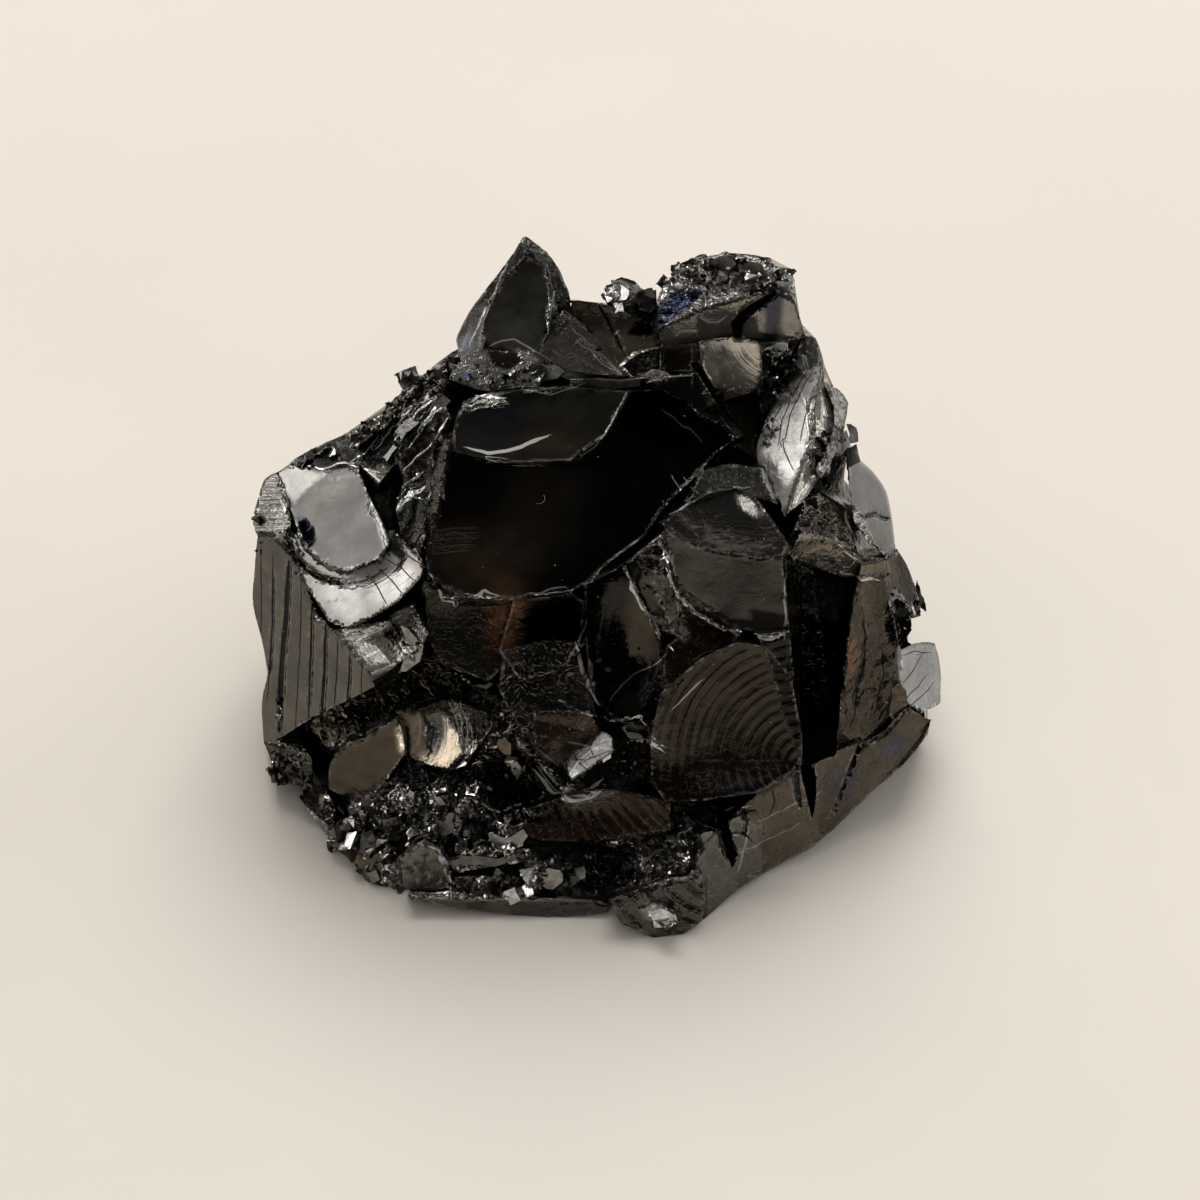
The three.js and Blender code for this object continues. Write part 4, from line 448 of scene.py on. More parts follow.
# Thin lines with a small raised bump, painted near-white so that they shine as highlights, in the same columns.
GLINT_RIBS = table("""
0.26 0.05 1 -13.1 14.1 -11.1 13.55 -9.5 13.75 -7.9 14.14 -6.6 14.8 -5.2 15.3
0.07 0.1 0.5 -11 12.9 -8.5 12.35 -5.6 12.35 -3.3 12.7 -2 13.2 -0.2 14.5 1.26 16.8 2.7 19.7
0.06 0.05 0.5 -7.9 20 -4.9 19.4 -2 20.35 -0.4 21.2
0.18 0.3 1 -13.2 18.6 -12 19.4 -11 19.2 -9.5 19
0.03 0.02 0.12 -16.3 5.9 -14.5 6.1 -12.2 6.2
0.03 0.02 0.12 -16.3 5.4 -14.5 5.6 -12 5.7
0.03 0.02 0.12 -16.3 4.9 -14.5 5.1 -12.2 5.2
0.03 0.02 0.12 -16.3 4.2 -14.5 4.4 -12.6 4.5
0.03 0.02 0.12 -16.3 3.6 -14.5 3.8 -13.2 3.9
0.2 0.4 0.7 -16.8 1.5 -16.4 0.2 -15.4 -1 -14.5 -1.3
0.1 0.15 0.7 6.8 7.4 9 8.7 12 10 14.5 10.2
0.05 0.05 0.6 7.2 11.1 8.1 9.8 9.1 8.7
0.18 0.4 0.8 2.5 2.2 3.4 0.4 4.6 -2.2 5.6 -4 6.4 -5
0.16 0.4 0.8 6.1 4.7 6.7 3.4 7.1 0.5 7.9 -1 9.1 -1.9 10.6 -2.8 12 -3.8
0.12 0.3 0.7 12 -3.8 14 -4.4 17 -5 18.3 -4.6
0.08 0.2 0.5 18.5 3 18.4 -1 18.3 -4.6
0.12 0.3 0.5 -4 -9 -2.5 -6 -1.5 -3.5
0.2 0.15 1 -2.3 -5.5 -1.8 -7.8 -1 -10 -0.3 -11
0.05 0.05 0.35 1.2 -10.7 2.2 -9.4 3.6 -8.2 5.5 -7.4 6.4 -6.5
0.12 0.15 0.9 2.2 -13.6 3.2 -14.7
0.12 0.15 0.9 2.8 -13.9 3.8 -14.95
0.12 0.15 0.9 3.4 -14.2 4.4 -15.2
0.12 0.15 0.9 4 -14.5 5 -15.45
0.12 0.15 0.9 4.6 -14.8 5.6 -15.7
0.12 0.15 0.9 5.2 -15.1 6.2 -15.95
0.1 0.1 0.4 -3 -15.2 -1 -15.5 1.2 -15.8
0.05 0.05 0.5 -14.4 -11.4 -13.8 -12.8 -13.6 -14.4 -13.8 -15.6
0.05 0.05 0.5 -13.9 -11.6 -13.3 -13 -13.1 -14.6 -13.3 -15.8
0.05 0.05 0.5 -14.9 -11.3 -14.3 -12.7 -14.1 -14.3 -14.3 -15.5
0.05 0.05 0.5 -13.4 -12.2 -12.8 -13.6 -12.6 -15.2 -12.8 -16.4
0.2 0.1 0.4 -32 9 -31 7 -30 5.6
0.1 0.2 0.8 -30 12.4 -27.5 12.2 -25.5 12.8 -23.5 12 -22 11.7
0.35 0.35 0.9 -20.4 7.8 -19.6 8.8 -18.6 9.6 -17.2 10.2
0.1 0.25 0.8 -20.4 15 -19.2 16.4 -17.6 18 -16 19.4
0.08 0.25 0.8 -22.2 14.2 -20.8 15.8 -19.6 17 -18.6 18.2
0.08 0.25 0.6 -19 14.4 -17.6 16 -16.4 17.4 -15 18.6
0.1 0.25 0.7 -17.6 19 -16 20.6 -14.5 21.8 -13 22.4
0.14 0.03 0.9 10 27.2 10.8 26.7 11.8 26.7 12.5 27.2
0.06 0.03 0.5 9.8 27.6 10.8 27.1 12 27.2
0.05 0.2 0.3 6.4 17.8 8 16.6 10 15
0.1 0.3 0.8 -5.3 32.4 -4.8 30.5 -4.8 28.5 -5.1 26.8
0.08 0.15 0.5 -9.2 32.5 -10.4 30 -11.8 27.2 -13 24.5
0.08 0.25 0.7 -2.5 25 -1 23.8 0.6 22.4 2.2 21.2
0.08 0.25 0.5 -2.8 26 -1.2 24.6 0.4 23.4 2 21.6
0.1 0.15 0.9 5 20.6 6.8 21.2 9 21.4
0.1 0.15 0.8 20 19.8 20.6 18 20.8 16 20.6 14
0.12 0.2 0.8 21.2 18.8 21.4 16 20.8 13 19.6 10
0.16 0.2 0.8 19 7.5 20 9.5 21.2 11.2 22.2 12.5
0.12 0.1 0.9 24.6 8.5 25.2 7 26.2 5.4 27.6 3.8
0.16 0.35 0.8 23.6 1.8 25.6 1.2 27.4 1
0.3 0.35 1 -15.9 -26 -15.5 -27.5 -15.1 -29 -14.7 -30.2
0.14 0.2 1 -17 -25.6 -16 -26
0.12 0.08 0.8 -9.7 -22.2 -8.8 -21.6 -7.8 -21.4 -7.2 -22.2
0.08 0.08 0.8 -9.4 -23 -8.6 -23.6 -7.6 -23.2
0.1 0.1 0.3 14.8 -23.8 14.4 -26 13.8 -28
0.12 0.15 0.8 12.5 -22.2 13.5 -21.6 14.7 -21.6
0.28 0.08 1 -6.4 -18.1 -4.8 -20.2 -2.8 -21 -1.1 -20.8
0.34 0.08 1 -3.6 -19.6 -2 -20.3 -1 -20 0.1 -19
0.16 0.08 0.8 -5.9 -17.4 -4.4 -19.3 -3.4 -20
0.38 0.1 1 -27 -3 -25.2 -4.06 -22.8 -3.86 -21 -3.2 -19.9 -2.6
0.26 0.1 1 -25.6 -4.9 -23.6 -4.67 -21.1 -3.45
0.2 0.15 1 -24.7 -5 -23.9 -6.1 -22.9 -7.3
0.2 0.15 1 -24.1 -5.15 -23.3 -6.25 -22.4 -7.3
0.2 0.15 1 -23.5 -5.3 -22.7 -6.4 -21.9 -7.3
0.2 0.15 1 -22.9 -5.45 -22.1 -6.55 -21.4 -7.3
0.2 0.15 1 -22.3 -5.6 -21.5 -6.7 -20.9 -7.3
0.16 0.05 1 -23 7.6 -22.2 10
0.12 0.05 1 -22.5 7.4 -21.6 9.8
0.12 0.05 1 -21.9 7.7 -20.9 10.2
0.1 0.1 1 -23.4 12 -22.4 11.4 -21.6 10.6
0.16 0.03 1 24.9 7.3 25.7 7.7
0.16 0.03 1 25.24 6.74 25.96 7.14
0.16 0.03 1 25.58 6.18 26.22 6.58
0.16 0.03 1 25.92 5.62 26.48 6.02
0.16 0.03 1 26.26 5.06 26.74 5.46
0.16 0.03 1 26.6 4.5 27 4.9
0.16 0.04 1 24.4 8.4 24.6 6.8 25.6 5 27 3.8
0.1 0.03 0.4 7.2 -11.8 10 -9
0.14 0.03 1 31.3 -1.6 31.7 -3.2 31.3 -5 30.3 -5.9
0.1 0.05 1 17.6 24.6 18.6 24.7 18.6 23.4 17.4 23.3
0.1 0.05 1 16.4 24 17.2 24.2 17.2 22.8
0.14 0.05 0.5 16.5 29 17.5 29.8
0.1 0.2 1 -19.8 18.8 -18.6 20.2 -17.2 21.2
0.08 0.2 1 -21.2 16.6 -20 18.2 -18.8 19.2
0.12 0.15 0.8 -18.2 15.8 -17 17.2 -16 18.6
0.08 0.2 0.7 -24.8 12.8 -23.4 13.8 -22 15.4
0.08 0.15 0.6 -17 14.2 -16 15.6 -15.2 17
0.07 0.15 0.6 -19.5 12 -18.2 13.2 -17.2 14
0.1 0.2 0.4 4 -27.2 5.6 -26.2 7.2 -25.6
0.08 0.2 0.4 6 -29.6 7.6 -28.2 9.4 -27.2
0.06 0.2 0.25 16 -23 19 -21.6 22 -20.2
0.06 0.2 0.2 14 -26.2 17.2 -24.8 20 -23.4
0.08 0.06 0.8 -3.1 -18.6 -2.2 -17 -1 -16 0.3 -15.2
0.07 0.06 0.7 -1.4 -18.2 -0.4 -17.2 0.3 -16.2 1.1 -15.8
0.14 0.1 0.9 -5.2 -20 -3.4 -21 -1 -20.8 0.4 -19.8
0.09 0.1 0.8 -4.4 -19.2 -3 -20.2 -1.2 -19.8
0.08 0.1 0.5 -22.8 9 -22 9.4 -21.2 9
0.08 0.15 0.5 -20.2 9.8 -19 10.8 -17.6 11.6
0.06 0.15 0.6 -10.8 24.4 -8.8 25 -6.8 24 -5.2 23
0.05 0.15 0.45 -9.8 21.8 -7.8 20.4 -5.2 20 -2.2 21.2
0.07 0.3 0.4 10.6 18.6 12.4 17 14 14.4
0.06 0.1 0.6 23 3.4 24.2 3.8 25.6 3 24.8 2.2
0.13 0.5 0.7 -14.5 -1 -12.5 -0.5 -11.5 -0.2 -10.2 -0.8
0.06 0.4 0.45 -7.2 -0.5 -4.7 0 -3.4 0
""")

# Fine chipped edges, given a near-white tone so that they shine as painted glints: the width of the chips, and the
# places along each.
CHIPPED = table("""
0.3 2.5 2.2 3.4 0.4 4.6 -2.2 6.4 -5 7.1 -5.8
0.34 6.1 4.7 6.8 3 7.1 0.5 9.1 -1.9 12 -3.8 17.8 -4.8
0.3 -2.3 -5.5 -1 -10 0 -11.5
0.26 -4 -11 -2 -12.2 1.2 -13 4 -12.6 5.5 -15
0.3 -16.4 11 -17.2 9 -20 9.2 -22 9.5
0.3 6 3 6.8 3.4
0.26 -16 -25.6 -15.4 -27.8 -14.8 -30.4
0.24 -12 19.2 -9.5 18.8 -13 17.8
0.2 -5.5 32 -5 29 -5.2 26
0.22 20.6 19 21 15 20 12
0.2 -22.5 10.5 -21.2 9 -22.2 7.5
0.24 23.8 1.8 27.2 1
0.4 -18.8 -21 -17.6 -22.2 -16.4 -24 -15.6 -26.2 -14.8 -29
0.3 -13.4 -19.6 -12.2 -21 -10 -22.2
0.34 -9.7 -30.2 -8 -29.6 -5.5 -30.2 -3.4 -29.6 -1.4 -28.8
0.34 7.8 -22.8 9 -23.2 11.2 -23.8
0.3 -24.8 -5 -22.8 -7.4
0.3 -24.4 -4.2 -20.8 -3.4
0.26 10 32.8 14 32.2 17 30.8
0.3 20.6 19 21.2 16 20.6 13.2 20 11
0.2 2.8 -15 5 -14.8 7 -15.8
0.28 -15.8 -0.8 -13 -0.6 -10.2 -0.8
0.12 -6.5 -0.5 -2.4 0
""")

# Crumbled places: middle, reach across and up, how many grains, the smallest, the largest and the share that shine,
# which take the chips' near-white tone as painted glints.
GRAINS = table("""
-21 -23.6 5.4 2.4 90 0.25 1.3 0.2
-23.5 -25.5 3.4 2.6 48 0.4 1.88 0.2
-16.2 -22.9 4.2 2.8 170 0.15 0.85 0.42
-7 -29 3.8 1.4 90 0.25 1.38 0.34
4.5 -29 4.4 1.2 18 0.2 1 0.2
9 -24.4 2.4 2 32 0.2 1.25 0.2
12.6 31.4 6.6 1.9 90 0.3 1.1 0.12
18.2 21.6 1.8 3.2 50 0.2 0.7 0.25
21.8 14.6 1.2 5 50 0.15 0.5 0.25
-10.6 21.4 5 1.3 36 0.2 0.7 0.06
-18.6 20 4.4 1.8 60 0.2 0.9 0.06
-19.6 10.6 2.4 1.6 24 0.15 0.6 0.35
-19.4 -5.2 2 2.4 50 0.2 0.8 0.35
16.4 16.6 1.6 2.4 40 0.15 0.6 0.06
-31.2 -18.2 2.4 1.6 24 0.2 0.88 0.2
-9 -16 2.4 2.6 16 0.2 1 0.2
-13.6 -19.4 3 1.6 16 0.2 1.12 0.2
3 -17.5 2 1.6 32 0.15 0.62 0.2
-29.4 12.4 1.5 0.5 10 0.3 1 0.06
-27.2 13.6 1.6 0.6 12 0.3 1 0.06
-24.6 14.9 1.6 0.6 14 0.3 1 0.06
-22.4 16.4 1.5 0.7 16 0.3 1 0.06
-20.4 18 1.4 0.8 16 0.3 1 0.06
-17.2 21 1.4 0.8 14 0.3 1 0.06
30.6 -2.6 0.4 1.6 6 0.3 0.7 0.06
-32.2 -14 0.6 3 8 0.3 1 0.06
-34 6 0.5 3 8 0.3 1 0.06
""")

# Flat flakes set into the surface, by tone: the lean across and up, how far each stands out, and its outline. The
# silver and white flakes mirror far more than the stone and paint bright glints.
FLAKES = {
    "bronze": table("""
0.3 0.5 0.3 -10.3 -15.3 -9.5 -14.7 -8.9 -15.3 -8.9 -16.7 -9.7 -16.3 -10.2 -15.9
0.05 0.5 0.2 -14.6 -28.6 -10.5 -28.3 -8.5 -28.8 -8.9 -29.4 -13.8 -29.8
0.1 0.5 0.5 -22.8 -25.6 -20.4 -25.6 -19.8 -28.2 -21.4 -30 -23 -28.2
0.1 0.45 0.1 29 -10 30 -9.2 30.6 -10 30.7 -11.4 30.3 -12.6 29.5 -13.2 28.9 -11.8
"""),
    "silver": table("""
0.35 0.5 0.5 -11.1 -24.3 -9.7 -24.7 -8.5 -24.4 -7.6 -23.8 -7.2 -24.5 -7.7 -25.5 -8.9 -26 -10.1 -25.7 -10.9 -25.1
0.3 0.55 0.4 -19.7 -20.6 -19 -19.9 -18.5 -20.2 -18.5 -21.4 -19.3 -22 -19.8 -21.4
0.45 0.5 0.5 -8.9 -17.3 -8.3 -17.1 -7.9 -18.3 -8.3 -19 -8.7 -18.3
0.74 -0.49 0.3 -12.8 -15.1 -12 -14.4 -11.8 -15.3 -12.8 -16.7 -14.4 -17.8 -13.8 -16.8
0.5 0.5 0.3 -19.8 -3.5 -18.3 -4.7 -17.5 -5.5 -17.9 -7.1 -19.3 -8.1 -20 -8.3 -19.5 -5.9
0.74 -0.49 0.4 -7.8 -29.6 -6.9 -29 -6.6 -30.3 -7.4 -30.8
0.45 0.5 0.4 -17 -21 -16 -20.6 -15.4 -21.4 -16.4 -21.8
0.4 0.4 0.4 -23.4 -28.2 -22.4 -27.9 -22 -28.9 -22.9 -29.4
0.45 0.5 0.35 -7.2 21.5 -6.2 22.4 -4.5 22.4 -3.5 21.8 -5 20.9 -6.5 20.8
0.5 0.5 0.3 8.1 -23.2 8.8 -22.8 9.6 -23.2 9 -24
0.5 0.45 0.3 10 -24.4 11.2 -24 11.6 -25.2 10.6 -26
0 0.35 0.2 -16.6 21.7 -15.3 22.9 -14.8 22 -15.1 20.6 -16.4 20.8
0.74 -0.49 0.35 24.2 13.8 25.6 14.6 26 12.8 24.6 12
-0.3 0.5 0.35 21.2 20.2 22 19.2 22 17 21.2 17.8
0.2 0.6 0.35 17.6 30.8 18.6 30.6 19 29.2 17.8 29.2
0.74 -0.49 0.2 1 30.2 2 30.5 2.9 29.9 2.6 29 1.4 28.9
0.6 -0.2 0.2 1.2 28.7 2.2 28.7 2.4 27.8 1.5 27.6
0.74 -0.49 0.3 24.6 16.6 25.6 16.2 25.8 14.8 24.8 14.6
0.6 0.4 0.3 22.2 12 23 12.8 23.8 12 22.8 10.8
0.3 0.6 0.4 -6.4 -28.2 -5.2 -27.7 -4 -27.9 -3.7 -29 -4.8 -29.9 -5.9 -29.4
"""),
    "steel": table("""
0.05 0.5 0.3 -14.8 -27.1 -12.2 -26.5 -8.5 -26.3 -8.3 -27 -10.5 -27.6 -14.6 -28
0.1 0.5 0.5 -16.4 -23 -15 -22.2 -13.8 -23 -14.2 -24.4 -15.8 -24.6
0.2 0.5 0.4 -24 -21 -22.4 -20.4 -21.2 -21.2 -22 -22.4 -23.6 -22.2
0.4 0.4 0.4 -21.6 -23 -20 -22.6 -19.2 -24.2 -20.6 -25.2 -21.8 -24.4
-0.1 0.5 0.5 -26 -23.6 -24.4 -23 -23.4 -24.4 -24.6 -25.6 -26 -25
0.1 0.5 0.2 -2.3 20.6 0 21.1 4 21 4 20.3 0.6 19.9 -2 19.9
0.3 0.5 0.5 7.1 -24.6 9.2 -24 10.8 -24.8 10.2 -27.2 8.4 -27.6 7.2 -26.2
0.5 0.4 0.4 -17.6 18 -15.6 19.4 -14.8 18.8 -17 17
0.6 -0.2 0.4 -20.4 15.8 -18.8 17.2 -18 16.6 -19.8 14.8
0.3 0.5 0.4 10.8 32.8 12.4 33.4 13.6 32.6 12.6 31.4 11 31.6
0.4 0.4 0.4 14.4 32.6 16 32.6 16.8 31.4 15.6 30.6 14.2 31.2
0.4 0.4 0.2 4.4 30 5.2 30.2 5.6 29.2 4.8 28.8
0.5 0.5 0.3 20.6 9 21.6 9.2 21.8 8.2 20.6 7.8
0.6 -0.3 0.3 -21.6 13.2 -20.6 14.4 -20.2 14.2 -21.2 12.8
"""),
    "white": table("""
0.74 -0.49 0.4 -13.4 -20.4 -12.8 -19.4 -12.1 -19.6 -12.5 -20.5
0.45 0.5 0.4 -13 -9.6 -11.5 -9.5 -9.8 -8.4 -10.5 -9.2 -11.5 -10
0.3 0.6 0.4 0.2 -15.1 1.1 -14.5 1.3 -15.7 1.1 -16.7 0.3 -17.2
0.6 0.4 0.4 -3.4 -27.8 -1.6 -27.6 -1.5 -28.7 -2.7 -29.5
0.5 0.55 0.4 -9.6 -30.1 -8.5 -29.6 -7.9 -30.9 -8.9 -31.4 -9.8 -31
0.7 0.1 0.4 -18.2 -22.2 -17.4 -21.8 -16.8 -22.6 -17.6 -23.2
0.5 0.5 0.3 17 24.4 18.4 24.6 18.6 23.4 17.5 23.2
0.3 0.6 0.3 4 21.4 5.2 22 6.4 21.8 7.2 21.1 5.6 20.7
0.5 0.5 0.25 4.8 -32 6.2 -31.7 7.4 -32.4 7 -33.4 5.4 -33.6
0.74 -0.49 0.3 23.6 15.6 24.6 16 25 14.6 24 13.4
0.74 -0.49 0.25 0.6 29.8 1 30.2 1.2 29 0.7 28.7
0.6 0.4 0.3 21.2 10.4 22 11 22.4 10.2 21.4 9.4
"""),
}

# Fibres of dust on the dark face: where each starts, its way, its length and how it curls, in degrees a step.
FIBRES = table("""
-5.6 9.4 -60 1.6 -12
8.3 11.2 -55 2.4 1
""")


# ---- Places, chance and distance ----


def on_slope(places):
    """Places in millimetres, as across, up and out."""
    return (places - MIDDLE) @ SLOPE.T


def off_slope(places):
    """Across, up and out, as places in millimetres."""
    return np.asarray(places, float) @ SLOPE + MIDDLE


def unit(rows):
    """Rows of three numbers, brought to a length of one."""
    return rows / np.maximum(np.linalg.norm(rows, axis=1), 1e-12)[:, None]


def eased(low, high, value):
    """0 below low, 1 above high and a smooth rise between them."""
    t = np.clip((value - low) / (high - low), 0, 1)
    return t * t * (3 - 2 * t)


def lottery(cells, seed):
    """Three numbers between 0 and 1 for each whole-numbered cell, the same ones every time."""
    whole = cells.astype(np.int64)
    mixed = (whole[:, 0] * 73856093) ^ (whole[:, 1] * 19349663) ^ (whole[:, 2] * 83492791) ^ (seed * 2654435761)
    drawn = []
    for _ in range(3):
        mixed = ((mixed ^ (mixed >> 16)) & 0xFFFFFFFF) * 0x45D9F3B & 0xFFFFFFFF
        mixed = ((mixed ^ (mixed >> 15)) & 0xFFFFFFFF) * 0x2C1B3C6D & 0xFFFFFFFF
        mixed ^= mixed >> 16
        drawn.append(mixed / 4294967296)
    return np.stack(drawn, 1)


def swell(places, size, seed):
    """Smooth, random rise and fall between -1 and 1, about one wave to each size."""
    spot = places / size
    low = np.floor(spot)
    part = spot - low
    part = part * part * (3 - 2 * part)
    total = np.zeros(len(places))
    for corner in itertools.product((0, 1), repeat=3):
        share = np.prod(np.where(corner, part, 1 - part), axis=1)
        total += share * lottery(low + corner, seed)[:, 0]
    return total * 2 - 1


def pebbled(places, size, seed):
    """The nearest of a scatter of seeds: the step away from it, its three numbers and how clearly it is nearest."""
    spot = places / size
    low = np.floor(spot)
    count = len(places)
    near, next_near = np.full(count, 99.0), np.full(count, 99.0)
    step, numbers = np.zeros((count, 3)), np.zeros((count, 3))
    for corner in itertools.product((-1, 0, 1), repeat=3):
        cell = low + corner
        drawn = lottery(cell, seed)
        away = spot - cell - drawn
        far = np.einsum("ij,ij->i", away, away)
        nearer = far < near
        next_near = np.where(nearer, near, np.minimum(next_near, far))
        near = np.where(nearer, far, near)
        step[nearer] = away[nearer]
        numbers[nearer] = drawn[nearer]
    return step * size, numbers, np.sqrt(next_near) - np.sqrt(near)


def beside_line(points, line, full=False):
    """How far each point is from a broken line, and in full also on which side and how far along it."""
    best, side, along = np.full(len(points), 1e9), np.ones(len(points)), np.zeros(len(points))
    for i, (start, end) in enumerate(zip(np.array(line[:-1], float), np.array(line[1:], float))):
        run, reach = end - start, points - start
        share = np.clip(reach @ run / (run @ run), 0, 1)
        away = np.hypot(*(reach - share[:, None] * run).T)
        nearer = away < best
        best[nearer] = away[nearer]
        if full:
            side[nearer] = np.sign(run[0] * reach[:, 1] - run[1] * reach[:, 0])[nearer]
            along[nearer] = ((i + share) / (len(line) - 1))[nearer]
    return (best, side, along) if full else best


def within(points, outline):
    """How far inside an outline each point is, below 0 outside it."""
    closed = np.array(list(outline) + [outline[0]], float)
    inside = np.zeros(len(points), bool)
    for (x1, y1), (x2, y2) in zip(closed[:-1], closed[1:]):
        if y1 == y2:
            continue
        crosses = (points[:, 1] >= min(y1, y2)) & (points[:, 1] < max(y1, y2))
        reach = x1 + (points[:, 1] - y1) * (x2 - x1) / (y2 - y1)
        inside ^= crosses & (points[:, 0] < reach)
    away = beside_line(points, closed)
    return np.where(inside, away, -away)


# ---- The surface ----


def read(items, name, kind=np.float32, each=3):
    """One property of every vertex, edge or corner, a row of numbers for each."""
    numbers = np.empty(len(items) * each, kind)
    items.foreach_get(name, numbers)
    return numbers.reshape(-1, each)


def as_modified(piece):
    """A new mesh of a piece with its modifiers applied."""
    evaluated = piece.evaluated_get(bpy.context.evaluated_depsgraph_get())
    return bpy.data.meshes.new_from_object(evaluated)


def gridded(node, depth):
    """A node's surface in small even four-sided faces: places in millimetres, and the faces."""
    source = bpy.data.objects.new("rough_copy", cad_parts[node].data.copy())
    bpy.context.scene.collection.objects.link(source)
    sewn = bmesh.new()
    sewn.from_mesh(source.data)
    bmesh.ops.remove_doubles(sewn, verts=sewn.verts, dist=1e-6)
    sewn.to_mesh(source.data)
    sewn.free()
    grid = source.modifiers.new("grid", "REMESH")
    grid.mode = "SHARP"
    grid.octree_depth = depth
    grid.scale = 0.95
    grid.sharpness = 1.0
    grid.threshold = 0.1
    mesh = as_modified(source)
    bpy.data.objects.remove(source)
    places = read(mesh.vertices, "co").astype(float) / MM
    faces = read(mesh.loops, "vertex_index", np.int32, 1).reshape(-1, 4)
    sides = read(mesh.loops, "edge_index", np.int32, 1).ravel()
    bpy.data.meshes.remove(mesh)
    return places, faces, sides


def beyond(faces, sides):
    """The face on the other side of each face's four sides."""
    order = np.argsort(sides, kind="stable")
    ranked = sides[order]
    starts = np.flatnonzero(np.append(True, ranked[1:] != ranked[:-1]))
    shared = starts[np.diff(np.append(starts, len(ranked))) == 2]
    one, other = order[shared], order[shared + 1]
    across = np.repeat(np.arange(len(faces)), 4)
    across[one], across[other] = other // 4, one // 4
    return across.reshape(-1, 4)


def facings(places, faces):
    """Each face's normal, area and middle."""
    corners = places[faces]
    normal = np.cross(corners[:, 2] - corners[:, 0], corners[:, 3] - corners[:, 1])
    size = np.linalg.norm(normal, axis=1)
    return normal / np.maximum(size, 1e-12)[:, None], size / 2, corners.mean(1)


def point_normals(places, faces):
    """Each point's normal, from the faces round it."""
    normal, area, _ = facings(places, faces)
    weighted = normal * area[:, None]
    total = np.stack(
        [sum(np.bincount(faces[:, k], weighted[:, axis], len(places)) for k in range(4)) for axis in range(3)], 1
    )
    return unit(total)


def planed(places, faces, sides, rounds):
    """Evens out each break and keeps the creases between breaks crisp."""
    across = beyond(faces, sides)
    normal = facings(places, faces)[0].astype(np.float32)
    crease, flat = math.cos(math.radians(30)), math.cos(math.radians(20))
    for _ in range(rounds):
        total = normal.copy()
        for k in range(4):
            neighbour = normal[across[:, k]]
            alike = np.einsum("ij,ij->i", normal, neighbour)
            total += neighbour * np.clip((alike - crease) / (flat - crease), 0, 1)[:, None]
        normal = unit(total)
    share = np.maximum(np.bincount(faces.reshape(-1), minlength=len(places)), 1).astype(float)
    for _ in range(25):
        middle = facings(places, faces)[2]
        shift = np.zeros_like(places)
        for k in range(4):
            gap = np.einsum("ij,ij->i", normal, middle - places[faces[:, k]])
            for axis in range(3):
                shift[:, axis] += np.bincount(faces[:, k], normal[:, axis] * gap, len(places))
        places = places + shift / share[:, None]
    return places


def edge_sharpness(places, faces, normals):
    """How far each point stands out of the points round it: above 0 on edges that stick out."""
    total = np.zeros_like(places)
    count = np.zeros(len(places))
    for k in range(4):
        here, there = faces[:, k], faces[:, (k + 1) % 4]
        for a, b in ((here, there), (there, here)):
            for axis in range(3):
                total[:, axis] += np.bincount(a, places[b, axis], len(places))
            count += np.bincount(a, minlength=len(places))
    return np.einsum("ij,ij->i", places - total / np.maximum(count, 1)[:, None], normals)


def blurred(value, faces, rounds):
    """A value spread evenly over the points round each point."""
    count = np.bincount(faces.reshape(-1), minlength=len(value))
    for _ in range(rounds):
        mean = value[faces].mean(1)
        value = sum(np.bincount(faces[:, k], mean, len(value)) for k in range(4)) / np.maximum(count, 1)
    return value


def on_show(slope, normals):
    """Which places can be seen from straight out of the show side."""
    cell, half_width, cells_across = 0.45, 60, 400
    grid = np.floor((slope[:, :2] + half_width) / cell).astype(int)
    key = grid[:, 0] * cells_across + grid[:, 1]
    top = np.full(cells_across * cells_across, -1e9)
    np.maximum.at(top, key, slope[:, 2])
    slant = np.maximum(normals @ OUT, 0.25)
    return (slope[:, 2] > top[key] - 0.35 - 0.5 / slant) & (normals @ OUT > 0.02)


def covered(entry, points, places):
    """How far a face or a patch covers each point, from 0 to 1, and how near each is to its outline."""
    soft, ragged = entry.get("soft", 0.5), entry.get("ragged", 0)
    uneven = ragged * (swell(places, 1.1, 41) + 0.45 * swell(places, 0.45, 43)) if ragged else 0
    if "outline" in entry:
        inside = within(points, entry["outline"])
        return eased(-soft / 2, soft / 2, inside + uneven) * entry.get("strength", 1), np.abs(inside)
    turn = math.radians(entry.get("turn", 0))
    reach = (points - entry["at"]) @ np.array([[math.cos(turn), -math.sin(turn)], [math.sin(turn), math.cos(turn)]])
    far = np.hypot(*(reach / entry["reach"]).T)
    return eased(1 + soft / 2, 1 - soft / 2, far + uneven) * entry.get("strength", 1), None


def box_of(entry):
    """The lowest and highest corners that a face or a patch can reach."""
    if "outline" in entry:
        return np.min(entry["outline"], 0) - 0.5, np.max(entry["outline"], 0) + 0.5
    reach = max(entry["reach"]) * 1.4
    return np.array(entry["at"]) - reach, np.array(entry["at"]) + reach


def between(shown, flat, low, high):
    """Which of the shown places lie between two corners."""
    return np.flatnonzero(shown & (flat > low).all(1) & (flat < high).all(1))


